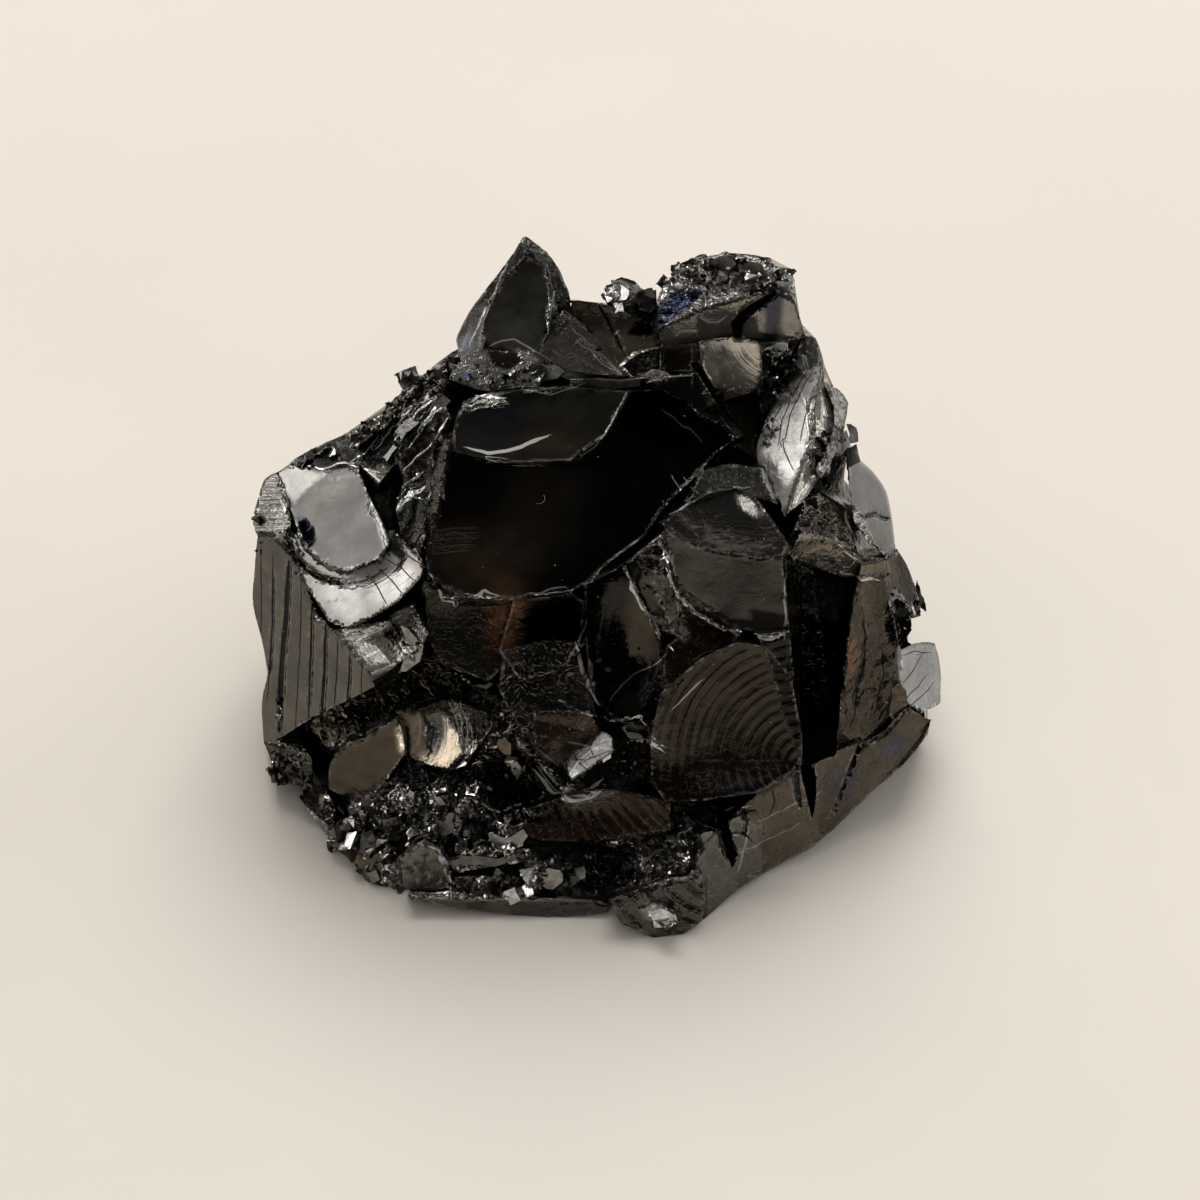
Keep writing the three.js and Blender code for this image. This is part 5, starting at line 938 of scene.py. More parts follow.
def coated(skin, entry, fresh, flat, places, normals):
    """Lays one face or patch over what is already known of the surface."""
    picked = between(skin["shown"], flat, *box_of(entry))
    # A rim raises the edge value along the outline, and the finish paints it silver as a highlight.
    share, rim = covered(entry, flat[picked], places[picked])
    if "rim" in entry and rim is not None:
        bright = eased(0.32, 0.06, rim) * entry["rim"]
        skin["edge"][picked] = np.maximum(skin["edge"][picked], bright)
    picked, share = picked[share > 0], share[share > 0]
    points = flat[picked]
    if entry["tone"]:
        tone = np.array(TONES[entry["tone"]]) * entry.get("gain", 1)
        skin["tone"][picked] += (tone - skin["tone"][picked]) * share[:, None]
    for key, usual in (("film", 0.05), ("crumble", 0), ("torn", 0)):
        if fresh or key in entry:
            skin[key][picked] += (entry.get(key, usual) - skin[key][picked]) * share
    if fresh or "aim" in entry:
        lean = np.zeros((len(picked), 3))
        if "aim" in entry:
            aim = OUT - np.array(entry["aim"]) @ SLOPE[:2]
            lean = entry.get("hold", 0.7) * (aim / np.linalg.norm(aim) - normals[picked])
        skin["lean"][picked] += (lean - skin["lean"][picked]) * share[:, None]
    at_home = share > 0.5
    for key, lines in (("ripples", skin["ripple"]), ("hackles", skin["hackle"])):
        if fresh or key in entry:
            lines[picked, 1] *= 1 - share
        if key in entry:
            across, up, spacing, steep = entry[key]
            reach = points - (across, up)
            far = np.hypot(*reach.T)
            if key == "ripples":
                way, depth = far / spacing, steep * spacing / math.tau
            else:
                way = np.arctan2(reach[:, 1], reach[:, 0]) / math.tau * spacing
                depth = steep * far / spacing * 1.6
            lines[picked[at_home], 0] = way[at_home]
            lines[picked[at_home], 1] = (depth * eased(0.5, 1, share))[at_home]


def surveyed(places, normals):
    """What the surface is like at each place: tone, film and glow, lean, ripples, hackles, crumble, cracks, glint
    ribs and edges, of which the glow, the ribs and the edges paint highlights.
    """
    slope = on_slope(places)
    flat = slope[:, :2]
    shown = on_show(slope, normals)
    step, numbers, clear = pebbled(places, 17, 5)
    middles = places - step + (numbers - 0.5) * 30
    away = np.linalg.norm(places - middles, axis=1)
    turned = np.arctan2(*((places - middles) @ SLOPE.T)[:, :2].T)
    apart = eased(0.03, 0.16, clear)
    rough = eased(0.30, 0.6, swell(places, 9, 23) + 0.25 * swell(places, 3, 29))
    skin = {
        "tone": np.outer(0.5 + 0.4 * numbers[:, 1] * apart, TONES["glass"]),
        "film": np.where(numbers[:, 0] > 0.55, 0.22, 0.08) * apart,
        "ripple": np.stack([away / (1.3 + numbers[:, 1]), (0.004 + 0.025 * numbers[:, 2]) * apart, 0 * away], 1),
        "hackle": np.stack([turned / math.tau * 120, (0.004 + 0.02 * numbers[:, 0]) * apart, 0 * away], 1),
        "lean": np.zeros((len(places), 3)),
        "crumble": rough * np.where(shown, 0.2, 0.6),
        "torn": 0.12 + 0.45 * rough,
        "edge": np.zeros(len(places)),
        "shown": shown,
    }
    for face in (*FACES.values(), *GULLIES.values()):
        coated(skin, face, True, flat, places, normals)
    for patch in PATCHES:
        coated(skin, patch, False, flat, places, normals)
    skin["crack"], skin["rib"] = lined(flat, shown, CRACKS), lined(flat, shown, GLINT_RIBS)
    return skin


def lined(flat, shown, lines):
    """The nearest of some lines: which side of it, how far off, half its width there and how strong it is."""
    found = np.tile((0.0, 2.0, 0.0, 1.0), (len(flat), 1))
    for width, wobble, strength, *ends in lines:
        line = pairs(ends)
        picked = between(shown, flat, line.min(0) - 2, line.max(0) + 2)
        spots = flat[picked]
        spots = spots + wobble * np.stack([swell(np.insert(spots, 2, seed, 1), 0.9, seed) for seed in (51, 53)], 1)
        far, side, along = beside_line(spots, line, True)
        nearer = far < found[picked, 1]
        taper = np.minimum(1, 0.25 + 4 * np.minimum(along, 1 - along))
        strong = np.full(len(far), strength)
        values = np.stack([side * far * eased(1.0, 0.5, far), far, width / 2 * taper, strong], 1)
        found[picked[nearer]] = values[nearer]
    return found


def levelled(places, faces):
    """The faces of the show side, brought nearer to their planes where that is asked."""
    slope = on_slope(places)
    flat = slope[:, :2]
    shown = on_show(slope, point_normals(places, faces))
    lift = np.zeros(len(places))
    for face in FACES.values():
        if "flat" not in face:
            continue
        picked = between(shown, flat, *box_of(face))
        share = eased(0.0, 0.7, within(flat[picked], face["outline"]))
        picked, share = picked[share > 0], share[share > 0]
        spots = np.column_stack([flat[picked], np.ones(len(picked))])
        kept = share > 0.9
        for _ in range(3):
            plane = np.linalg.lstsq(spots[kept], slope[picked[kept], 2], rcond=None)[0]
            gap = slope[picked, 2] - spots @ plane
            kept = (share > 0.9) & (np.abs(gap) < 1.2)
        near = eased(2.2, 1.2, np.abs(gap))
        lift[picked] -= share * near * gap * face["flat"]
    return places + lift[:, None] * OUT


def relief(places, faces, form):
    """How far each point of the grid moves out, in millimetres, for the breaks, ripples, chips and crumbs."""
    normals = point_normals(places, faces)
    skin = surveyed(places, normals)
    rise = 0.10 * form.swell * swell(places, 7, 3) + 0.035 * form.swell * swell(places, 2.6, 7)
    wander = 0.35 * swell(places, 4, 11) + 0.12 * swell(places, 1.5, 13)
    rise += skin["ripple"][:, 1] * np.sin(math.tau * (skin["ripple"][:, 0] + wander))
    step, numbers, clear = pebbled(places, form.crumb, 17)
    tilted = np.einsum("ij,ij->i", step, numbers - 0.5)
    crumbs = (0.5 * (numbers[:, 0] - 0.5) - 0.25 * eased(0.12, 0.0, clear)) * form.crumb + 1.1 * tilted
    rise += skin["crumble"] * crumbs
    edge = blurred(np.clip(edge_sharpness(places, faces, normals), 0, 0.15), faces, 2)
    chipped = 0.55 + 0.45 * swell(places, 0.9, 31) + 0.3 * swell(places, 2.4, 37)
    rise -= form.chip * eased(0.01, 0.06, edge) * np.clip(chipped, 0, 1.4)
    far, half_width = skin["crack"][:, 1:3].T
    crack_depth = 0.3 * eased(0.03, 0.06, half_width)  # hairlines are only drawn
    rise -= crack_depth * eased(0.25, 0.0, far - half_width)
    return normals, rise


def as_mesh(places, faces):
    """A mesh from places in millimetres."""
    mesh = bpy.data.meshes.new("shungite")
    mesh.from_pydata((np.asarray(places) * MM).tolist(), [], [list(map(int, face)) for face in faces])
    mesh.validate()
    return mesh


def as_piece(name, mesh, material):
    """A piece of the stone in the scene, with its finish."""
    mesh.name = name
    piece = bpy.data.objects.new(name, mesh)
    bpy.context.scene.collection.objects.link(piece)
    mesh.materials.append(material)
    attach(piece, "root")
    return piece


def thinned(piece, guard, triangles):
    """Fewer triangles, taken where the surface is plain and not where guard is high."""
    group = piece.vertex_groups.new(name="guard")
    for level in np.unique(guard):
        group.add(np.flatnonzero(guard == level).tolist(), float(level), "REPLACE")
    fewer = piece.modifiers.new("fewer", "DECIMATE")
    fewer.ratio = min(1.0, triangles / (2 * len(piece.data.polygons)))
    fewer.vertex_group = "guard"
    fewer.invert_vertex_group = True
    fewer.vertex_group_factor = 1.0
    fewer.use_collapse_triangulate = True
    mesh = as_modified(piece)
    piece.modifiers.clear()
    piece.vertex_groups.clear()
    old, piece.data = piece.data, mesh
    mesh.name = old.name
    bpy.data.meshes.remove(old)


def jutting(mesh, places, normals):
    """How far each point stands out of the points round it, against how far off they are."""
    ends = read(mesh.edges, "vertices", np.int32, 2)
    here, there = np.concatenate([ends, ends[:, ::-1]]).T
    gap = places[here] - places[there]
    count = np.maximum(np.bincount(here, minlength=len(places)), 1)
    out = np.bincount(here, np.einsum("ij,ij->i", gap, normals[here]), len(places)) / count
    return out / np.maximum(np.bincount(here, np.linalg.norm(gap, axis=1), len(places)) / count, 1e-6)


def paint(mesh):
    """Writes what the surface is like into the mesh, for its finish to read."""
    places, normals = read(mesh.vertices, "co"), read(mesh.vertices, "normal")
    skin = surveyed(places.astype(float) / MM, normals.astype(float))
    tone = np.concatenate([skin["tone"], np.ones((len(mesh.vertices), 1))], 1)
    layer = mesh.attributes.new("tone", "FLOAT_COLOR", "POINT")
    layer.data.foreach_set("color", tone.astype(np.float32).ravel())
    for name in ("ripple", "hackle", "lean", "crack", "rib"):
        layer = mesh.attributes.new(name, "FLOAT_VECTOR", "POINT")
        layer.data.foreach_set("vector", skin[name][:, :3].astype(np.float32).ravel())
    # Edges that stick out join the rims, and the finish paints both silver as highlights.
    out = eased(0.05, 0.25, jutting(mesh, places / MM, normals))
    skin["edge"], skin["gleam"] = np.maximum(skin["edge"], out), skin["rib"][:, 3]
    for name in ("film", "crumble", "torn", "edge", "gleam"):
        layer = mesh.attributes.new(name, "FLOAT", "POINT")
        layer.data.foreach_set("value", skin[name].astype(np.float32))


# ---- Finishes ----


def put(tree, kind, at, values=None, **settings):
    """A node at a place on the board, with its settings and what goes into it."""
    node = tree.nodes.new(kind)
    node.location = (at[0] * 190, at[1] * 170)
    for name, value in settings.items():
        setattr(node, name, value)
    for socket, value in (values or {}).items():
        if isinstance(value, bpy.types.NodeSocket):
            tree.links.new(value, node.inputs[socket])
        else:
            node.inputs[socket].default_value = value
    return node


def maths(tree, at, operation, *terms):
    """One step of arithmetic."""
    return put(tree, "ShaderNodeMath", at, dict(enumerate(terms)), operation=operation).outputs[0]


def vectors(tree, at, operation, *terms, **more):
    """One step of arithmetic on vectors."""
    values = {**dict(enumerate(terms)), **more}
    return put(tree, "ShaderNodeVectorMath", at, values, operation=operation).outputs[0]


def fitted(tree, at, value, low, high, new_low=0.0, new_high=1.0):
    """A value's range from low to high, moved smoothly onto another range."""
    values = {0: value, 1: low, 2: high, 3: new_low, 4: new_high}
    return put(tree, "ShaderNodeMapRange", at, values, interpolation_type="SMOOTHSTEP").outputs[0]


def mixed(tree, at, share, one, other, blend="MIX"):
    """One colour turning into another."""
    values = {0: share, 6: one, 7: other}
    return put(tree, "ShaderNodeMix", at, values, data_type="RGBA", blend_type=blend).outputs[2]


def noise(tree, at, place, scale, detail=2.0, rough=0.5, kind="3D", **extra):
    """Random rise and fall over the surface."""
    values = {"Scale": scale, "Detail": detail, "Roughness": rough, **extra}
    if place is not None:
        values["Vector"] = place
    return put(tree, "ShaderNodeTexNoise", at, values, noise_dimensions=kind).outputs[0]


def new_group(name, inputs, outputs):
    """A shader node group, with its way in and its way out. An input is a number, or a vector where it is None."""
    tree = bpy.data.node_groups.new(name, "ShaderNodeTree")
    for label, value in inputs.items():
        kind = "NodeSocketVector" if value is None else "NodeSocketFloat"
        socket = tree.interface.new_socket(label, in_out="INPUT", socket_type=kind)
        if value is not None:
            socket.default_value = value
    for label, kind in outputs.items():
        tree.interface.new_socket(label, in_out="OUTPUT", socket_type="NodeSocket" + kind)
    return tree, put(tree, "NodeGroupInput", (-6, 0)).outputs, put(tree, "NodeGroupOutput", (4, 0)).inputs


def shell_ripples():
    """Curved ripple marks: their height in millimetres."""
    tree, come, go = new_group(
        "Shell Ripples", {"Place": None, "Turns": 0.0, "Depth": 0.02, "Wander": 0.35}, {"Height": "Float"})
    bend = maths(tree, (-4, 1), "MULTIPLY", noise(tree, (-5, 1), come["Place"], 0.28), come["Wander"])
    turns = maths(tree, (-3, 1), "ADD", come["Turns"], bend)
    wave = maths(tree, (-1, 1), "SINE", maths(tree, (-2, 1), "MULTIPLY", turns, math.tau))
    lines = noise(tree, (-2, -1), None, 3.1, 3.0, 0.6, "1D", W=turns)
    lines = fitted(tree, (-1, -1), lines, 0.3, 0.7, -1.0, 1.0)
    both = maths(tree, (0, 0), "MULTIPLY_ADD", lines, 0.6, wave)
    share = maths(tree, (0, -1), "MULTIPLY", come["Depth"], 0.5)
    tree.links.new(maths(tree, (1, 0), "MULTIPLY", both, share), go["Height"])
    return tree


def hackle_lines():
    """Fine lines that run out from where a break began: their height in millimetres."""
    tree, come, go = new_group("Hackle Lines", {"Place": None, "Turns": 0.0, "Depth": 0.02}, {"Height": "Float"})
    fine = noise(tree, (-4, 1), come["Place"], 0.16, 3.0, 0.65, "4D", W=come["Turns"])
    ridge = maths(tree, (-3, 1), "ABSOLUTE", maths(tree, (-3, 2), "SUBTRACT", fine, 0.5))
    ridge = fitted(tree, (-2, 1), ridge, 0.0, 0.12, 1.0, 0.0)
    here = fitted(tree, (-3, -1), noise(tree, (-4, -1), come["Place"], 0.45, 1.0), 0.35, 0.65)
    height = maths(tree, (-1, 0), "MULTIPLY", ridge, maths(tree, (-2, -1), "MULTIPLY", here, come["Depth"]))
    tree.links.new(height, go["Height"])
    return tree


def crumbled_facets():
    """Little flat facets, each turned its own way: the turned normal, and a number for each facet."""
    tree, come, go = new_group(
        "Crumbled Facets", {"Place": None, "Normal": None, "Size": 0.5, "Amount": 0.5},
        {"Normal": "Vector", "Chance": "Float"})
    often = maths(tree, (-5, 1), "DIVIDE", 1.0, come["Size"])
    cells = put(tree, "ShaderNodeTexVoronoi", (-4, 1), {"Vector": come["Place"], "Scale": often})
    turn = vectors(tree, (-3, 1), "SUBTRACT", cells.outputs["Color"], (0.5, 0.5, 0.5))
    turn = vectors(tree, (-2, 1), "SCALE", turn, Scale=come["Amount"])
    total = vectors(tree, (-1, 1), "ADD", turn, come["Normal"])
    tree.links.new(vectors(tree, (0, 1), "NORMALIZE", total), go["Normal"])
    chance = put(tree, "ShaderNodeSeparateColor", (-3, -1), {0: cells.outputs["Color"]}).outputs[1]
    tree.links.new(chance, go["Chance"])
    return tree


def torn_relief():
    """Ragged little terraces of a rough break: their height in millimetres."""
    tree, come, go = new_group("Torn Relief", {"Place": None, "Amount": 0.3, "Often": 0.55}, {"Height": "Float"})
    rise = noise(tree, (-5, 0), come["Place"], come["Often"], 3.0, 0.5, Distortion=1.6)
    steps = maths(tree, (-4, 0), "MULTIPLY", rise, 9.0)
    part = maths(tree, (-3, -1), "FRACT", steps)
    part = fitted(tree, (-2, -1), part, 0.0, 0.45)
    whole = maths(tree, (-1, 0), "ADD", maths(tree, (-3, 1), "FLOOR", steps), part)
    height = maths(tree, (1, 0), "MULTIPLY", maths(tree, (0, 0), "MULTIPLY", whole, 0.13), come["Amount"])
    tree.links.new(height, go["Height"])
    return tree


def line_mark():
    """A thin line painted from its side, distance and half its width: 1 on the line, 0 beside it."""
    tree, come, go = new_group("Line Mark", {"Line": None, "Soft": 0.05}, {"Mask": "Float"})
    parts = put(tree, "ShaderNodeSeparateXYZ", (-5, 0), {0: come["Line"]}).outputs
    near = maths(tree, (-4, 1), "ABSOLUTE", parts[0])
    far = maths(tree, (-4, 0), "SUBTRACT", parts[1], 0.35)
    away = maths(tree, (-3, 0), "SUBTRACT", maths(tree, (-3, 1), "MAXIMUM", near, far), parts[2])
    values = {0: away, 1: 0.0, 2: come["Soft"], 3: 1.0, 4: 0.0}
    mask = put(tree, "ShaderNodeMapRange", (-1, 0), values, interpolation_type="SMOOTHSTEP").outputs[0]
    tree.links.new(mask, go["Mask"])
    return tree


def dust_specks():
    """Specks and a thin veil of pale dust, as a mask."""
    tree, come, go = new_group("Dust Specks", {"Place": None, "Amount": 0.3}, {"Mask": "Float"})
    cells = put(tree, "ShaderNodeTexVoronoi", (-4, 1), {"Vector": come["Place"], "Scale": 1.4})
    chance = put(tree, "ShaderNodeSeparateColor", (-3, 2), {0: cells.outputs["Color"]}).outputs[0]
    rare = maths(tree, (-2, 2), "LESS_THAN", chance, come["Amount"])
    small = fitted(tree, (-2, 1), cells.outputs["Distance"], 0.05, 0.12, 1.0, 0.0)
    speck = maths(tree, (-1, 1), "MULTIPLY", rare, small)
    tree.links.new(speck, go["Mask"])
    return tree


def oxide_film():
    """A thin dull film, thicker in some places than in others, as a mask. On a bright tone it makes a matte glow that
    paints a highlight.
    """
    tree, come, go = new_group("Oxide Film", {"Place": None, "Cover": 0.3}, {"Mask": "Float"})
    cloud = fitted(tree, (-2, 1), noise(tree, (-4, 1), come["Place"], 0.22, 5.0, 0.6), 0.3, 0.7, 0.6, 1.35)
    cover = put(tree, "ShaderNodeMath", (-1, 0), {0: cloud, 1: come["Cover"]}, operation="MULTIPLY", use_clamp=True)
    tree.links.new(cover.outputs[0], go["Mask"])
    return tree


def shared(make):
    """A node group by the function that makes it, made once."""
    name = " ".join(word.capitalize() for word in make.__name__.split("_"))
    return bpy.data.node_groups.get(name) or make()


def effect(tree, at, make, **values):
    """A shared effect placed in a material."""
    node = put(tree, "ShaderNodeGroup", at, node_tree=shared(make))
    for label, value in values.items():
        socket = node.inputs[label.replace("_", " ").title()]
        if isinstance(value, bpy.types.NodeSocket):
            tree.links.new(value, socket)
        else:
            socket.default_value = value
    return node.outputs


def blank_material(name):
    """A new material's board, its shader and its places in millimetres."""
    material = bpy.data.materials.new(name)
    material.use_nodes = True
    tree = material.node_tree
    tree.nodes.clear()
    shader = put(tree, "ShaderNodeBsdfPrincipled", (6, 0))
    put(tree, "ShaderNodeOutputMaterial", (8, 0), {"Surface": shader.outputs[0]})
    spot = put(tree, "ShaderNodeTexCoord", (-8, 0)).outputs["Object"]
    return material, tree, shader, vectors(tree, (-7, 0), "SCALE", spot, Scale=1 / MM)


def glassy(tree, shader, colour, shine, rough, bump):
    """Feeds a black glassy shader."""
    for socket, value in (("Base Color", colour), ("Metallic", shine), ("Roughness", rough), ("Normal", bump)):
        tree.links.new(value, shader.inputs[socket])
    shader.inputs["IOR"].default_value = 1.6


def polished_shungite(finish):
    """The stone's finish: glassy breaks with ripples and hackles, film, crumbs, cracks and dust, and painted
    highlights:
    matte glow, silver edges, near-white ribs and brighter little facets.
    """
    material, tree, shader, place = blank_material("polished_shungite")

    def layer(name, at, output):
        return put(tree, "ShaderNodeAttribute", at, attribute_name=name).outputs[output]

    tone = layer("tone", (-6, 4), "Color")
    film = layer("film", (-6, 3), "Fac")
    crumble = layer("crumble", (-6, 2), "Fac")
    torn = layer("torn", (-7, 2), "Fac")
    edge = layer("edge", (-6, 1), "Fac")
    gleam = layer("gleam", (-7, 5), "Fac")
    crack = layer("crack", (-6, 0), "Vector")
    rib = layer("rib", (-6, 5), "Vector")
    ripple = put(tree, "ShaderNodeSeparateXYZ", (-5, -1), {0: layer("ripple", (-6, -1), "Vector")}).outputs
    hackle = put(tree, "ShaderNodeSeparateXYZ", (-5, -2), {0: layer("hackle", (-6, -2), "Vector")}).outputs
    normal = put(tree, "ShaderNodeNewGeometry", (-7, -3)).outputs["Normal"]
    normal = vectors(tree, (-6, -3), "ADD", normal, layer("lean", (-7, -4), "Vector"))
    normal = vectors(tree, (-5, -3), "NORMALIZE", normal)

    dull = effect(tree, (-3, 3), oxide_film, place=place, cover=film)["Mask"]
    dust = effect(tree, (-3, 5), dust_specks, place=place, amount=finish.dust)["Mask"]
    waves = effect(tree, (-3, -1), shell_ripples, place=place, turns=ripple[0], depth=ripple[1])["Height"]
    lines = effect(tree, (-3, -2), hackle_lines, place=place, turns=hackle[0], depth=hackle[1])["Height"]
    split = effect(tree, (-3, 1), line_mark, line=crack, soft=0.05)["Mask"]
    # Glint ribs: a near-white colour, part matte, with a small bump: painted highlight lines.
    ridge = effect(tree, (-3, 7), line_mark, line=rib, soft=0.10)["Mask"]
    ridge = maths(tree, (-2, 7), "MULTIPLY", ridge, gleam)
    ragged = effect(tree, (-3, -8), torn_relief, place=place, amount=torn)["Height"]

    # Edges and rims broken up by noise: worn chips there, with facets turned and the colour painted silver as edge
    # highlights.
    wear_and_edge_glint = fitted(tree, (-4, 8), noise(tree, (-5, 8), place, 0.9, 4.0, 0.7), 0.43, 0.6)
    wear_and_edge_glint = maths(tree, (-3, 8), "MULTIPLY", wear_and_edge_glint, edge)
    broken = maths(tree, (-3, -6), "MULTIPLY", crumble, finish.facet_turn)
    facets = effect(tree, (-2, -3), crumbled_facets, place=place, normal=normal, size=finish.facet, amount=broken)
    finer = maths(tree, (-2, -6), "MULTIPLY", maths(tree, (-3, -7), "MAXIMUM", wear_and_edge_glint, crumble), finish.facet_turn)
    chips = effect(tree, (-1, -3), crumbled_facets, place=place, normal=facets["Normal"], size=finish.facet * 0.36,
                   amount=finer)

    cloud = fitted(tree, (-2, 6), noise(tree, (-3, 6), place, 0.3, 6.0, 0.65), 0.3, 0.7, 0.78, 1.22)
    glint = fitted(tree, (-1, 7), chips["Chance"], 0.55, 0.95, 0.6, finish.glint)
    cloud = put(tree, "ShaderNodeMix", (0, 7), {0: crumble, 2: cloud, 3: glint}).outputs[0]
    varied = mixed(tree, (1, 7), 1.0, tone, cloud, "MULTIPLY")
    # Painted highlights: worn edges turn silver and glint ribs near-white.
    colour = mixed(tree, (2, 7), maths(tree, (1, 8), "MULTIPLY", wear_and_edge_glint, 0.8), varied, TONES["silver"] + (1,))
    colour = mixed(tree, (3, 7), ridge, colour, TONES["white"] + (1,))
    colour = mixed(tree, (4, 7), split, colour, (0.001, 0.001, 0.001, 1))
    colour = mixed(tree, (5, 7), dust, colour, tuple(finish.dust_colour) + (1,))

    # Glint ribs are partly matte, so that their painted white shows as a highlight.
    veil = maths(tree, (0, 3), "MAXIMUM", dull, maths(tree, (-1, 4), "MULTIPLY", ridge, 0.45))
    shine = maths(tree, (1, 3), "SUBTRACT", 1.0, veil)
    shine = maths(tree, (2, 3), "MULTIPLY", shine, maths(tree, (1, 2), "SUBTRACT", 1.0, dust))
    rough = maths(tree, (0, 1), "MULTIPLY_ADD", dull, finish.film_rough, finish.polish)
    smear = fitted(tree, (0, 0), noise(tree, (-1, 0), place, 1.3, 4.0, 0.65), 0.35, 0.75, 0.0, finish.smear)
    rough = maths(tree, (1, 1), "ADD", rough, smear)
    rough = maths(tree, (2, 1), "MAXIMUM", rough, maths(tree, (1, 0), "MULTIPLY", dust, 0.8))

    grain = noise(tree, (-2, -4), place, 6.0, 3.0, 0.6)
    grain = maths(tree, (-1, -5), "MULTIPLY", grain, maths(tree, (-2, -5), "MULTIPLY_ADD", dull, 0.02, 0.0015))
    height = maths(tree, (0, -1), "ADD", maths(tree, (-1, -1), "ADD", waves, lines), grain)
    height = maths(tree, (0, -2), "ADD", height, ragged)
    height = maths(tree, (1, -1), "MULTIPLY_ADD", ridge, 0.04, height)
    height = maths(tree, (1, -2), "MULTIPLY_ADD", split, -0.03, height)
    bump = put(tree, "ShaderNodeBump", (2, -2),
               {"Strength": 1.0, "Distance": MM, "Height": height, "Normal": chips["Normal"]}).outputs[0]

    glassy(tree, shader, colour, shine, rough, bump)
    return material


def crushed_shungite(finish, name, tone, polish, spread, cover):
    """Loose-looking grains and chipped edges: glassy little facets with film and dust. Given a near-white tone they
    paint glints.
    """
    material, tree, shader, place = blank_material(name)
    dull = effect(tree, (-3, 3), oxide_film, place=place, cover=cover)["Mask"]
    dust = effect(tree, (-3, 5), dust_specks, place=place, amount=finish.dust)["Mask"]
    cells = put(tree, "ShaderNodeTexVoronoi", (-3, 1), {"Vector": place, "Scale": 1.6}).outputs["Color"]
    chance = put(tree, "ShaderNodeSeparateColor", (-2, 1), {0: cells}).outputs[0]
    much = fitted(tree, (-1, 1), chance, 0.0, 1.0, *spread)
    varied = mixed(tree, (0, 4), 1.0, tuple(tone) + (1,), much, "MULTIPLY")
    colour = mixed(tree, (2, 4), dust, varied, tuple(finish.dust_colour) + (1,))
    shine = maths(tree, (1, 2), "SUBTRACT", 1.0, maths(tree, (0, 2), "MULTIPLY", dull, 0.6))
    rough = maths(tree, (1, 1), "MULTIPLY_ADD", dull, finish.film_rough, polish)
    bump = put(tree, "ShaderNodeBump", (2, -2), {"Strength": 1.0, "Distance": MM, "Height": maths(
        tree, (0, -2), "MULTIPLY", noise(tree, (-1, -2), place, 3.0, 4.0, 0.6), 0.03)}).outputs[0]
    glassy(tree, shader, colour, shine, rough, bump)
    return material


def pale_fibre():
    """Dusty grey lint."""
    material, tree, shader, place = blank_material("pale_fibre")
    shade = fitted(tree, (0, 1), noise(tree, (-1, 1), place, 2.0), 0.3, 0.7, 0.25, 0.5)
    tree.links.new(mixed(tree, (1, 1), shade, (0.1, 0.09, 0.07, 1), (0.5, 0.46, 0.4, 1)), shader.inputs["Base Color"])
    shader.inputs["Roughness"].default_value = 0.8
    return material


def pale_floor(colour):
    """Plain matte plaster."""
    material, tree, shader, place = blank_material("pale_plaster")
    shade = fitted(tree, (0, 1), noise(tree, (-1, 1), place, 0.02, 4.0), 0.3, 0.7, 0.97, 1.0)
    tint = mixed(tree, (1, 1), 1.0, tuple(colour) + (1,), shade, "MULTIPLY")
    tree.links.new(tint, shader.inputs["Base Color"])
    shader.inputs["Roughness"].default_value = 0.95
    shader.inputs["Specular IOR Level"].default_value = 0.0
    return material


# ---- Grains, chips and fibres ----


def shard_shapes(count, draw):
    """Small sharp lumps of unit size: points and triangles."""
    shapes = []
    for _ in range(count):
        block = bmesh.new()
        for _ in range(9):
            way = draw.normal(size=3)
            block.verts.new(way / np.linalg.norm(way) * draw.uniform(0.75, 1.2))
        hull = bmesh.ops.convex_hull(block, input=block.verts)
        spare = [part for part in hull["geom_interior"] if isinstance(part, bmesh.types.BMVert)]
        bmesh.ops.delete(block, geom=spare, context="VERTS")
        bmesh.ops.triangulate(block, faces=block.faces)
        block.verts.index_update()
        shapes.append((np.array([v.co for v in block.verts]), [[v.index for v in f.verts] for f in block.faces]))
        block.free()
    return shapes


def strewn(shapes, lumps):
    """One mesh of many lumps, each a shape with its own three axes and place, in millimetres."""
    points, faces, start = [], [], 0
    for shape, axes, place in lumps:
        corners, triangles = shapes[shape]
        points.append(corners @ axes + place)
        faces += [[index + start for index in triangle] for triangle in triangles]
        start += len(corners)
    return as_mesh(above_floor(np.concatenate(points)), faces)


def above_floor(places):
    """The same places, with none under the floor."""
    return np.column_stack([places[:, :2], np.maximum(places[:, 2], 0.0)])


def surface_finder(piece):
    """A function that drops a point onto the stone from straight out of its show side."""
    tree = BVHTree.FromObject(piece, bpy.context.evaluated_depsgraph_get())
    inward = Vector(-OUT)

    def drop(across, up):
        start = Vector(off_slope((across, up, 60)) * MM)
        hit, normal, _, _ = tree.ray_cast(start, inward)
        return (None, None) if hit is None else (np.array(hit) / MM, np.array(normal))

    return drop


def any_turn(draw):
    """A turn in any direction."""
    q = draw.normal(size=4)
    w, x, y, z = q / np.linalg.norm(q)
    return np.array([
        [1 - 2 * (y * y + z * z), 2 * (x * y - z * w), 2 * (x * z + y * w)],
        [2 * (x * y + z * w), 1 - 2 * (x * x + z * z), 2 * (y * z - x * w)],
        [2 * (x * z - y * w), 2 * (y * z + x * w), 1 - 2 * (x * x + y * y)],
    ])


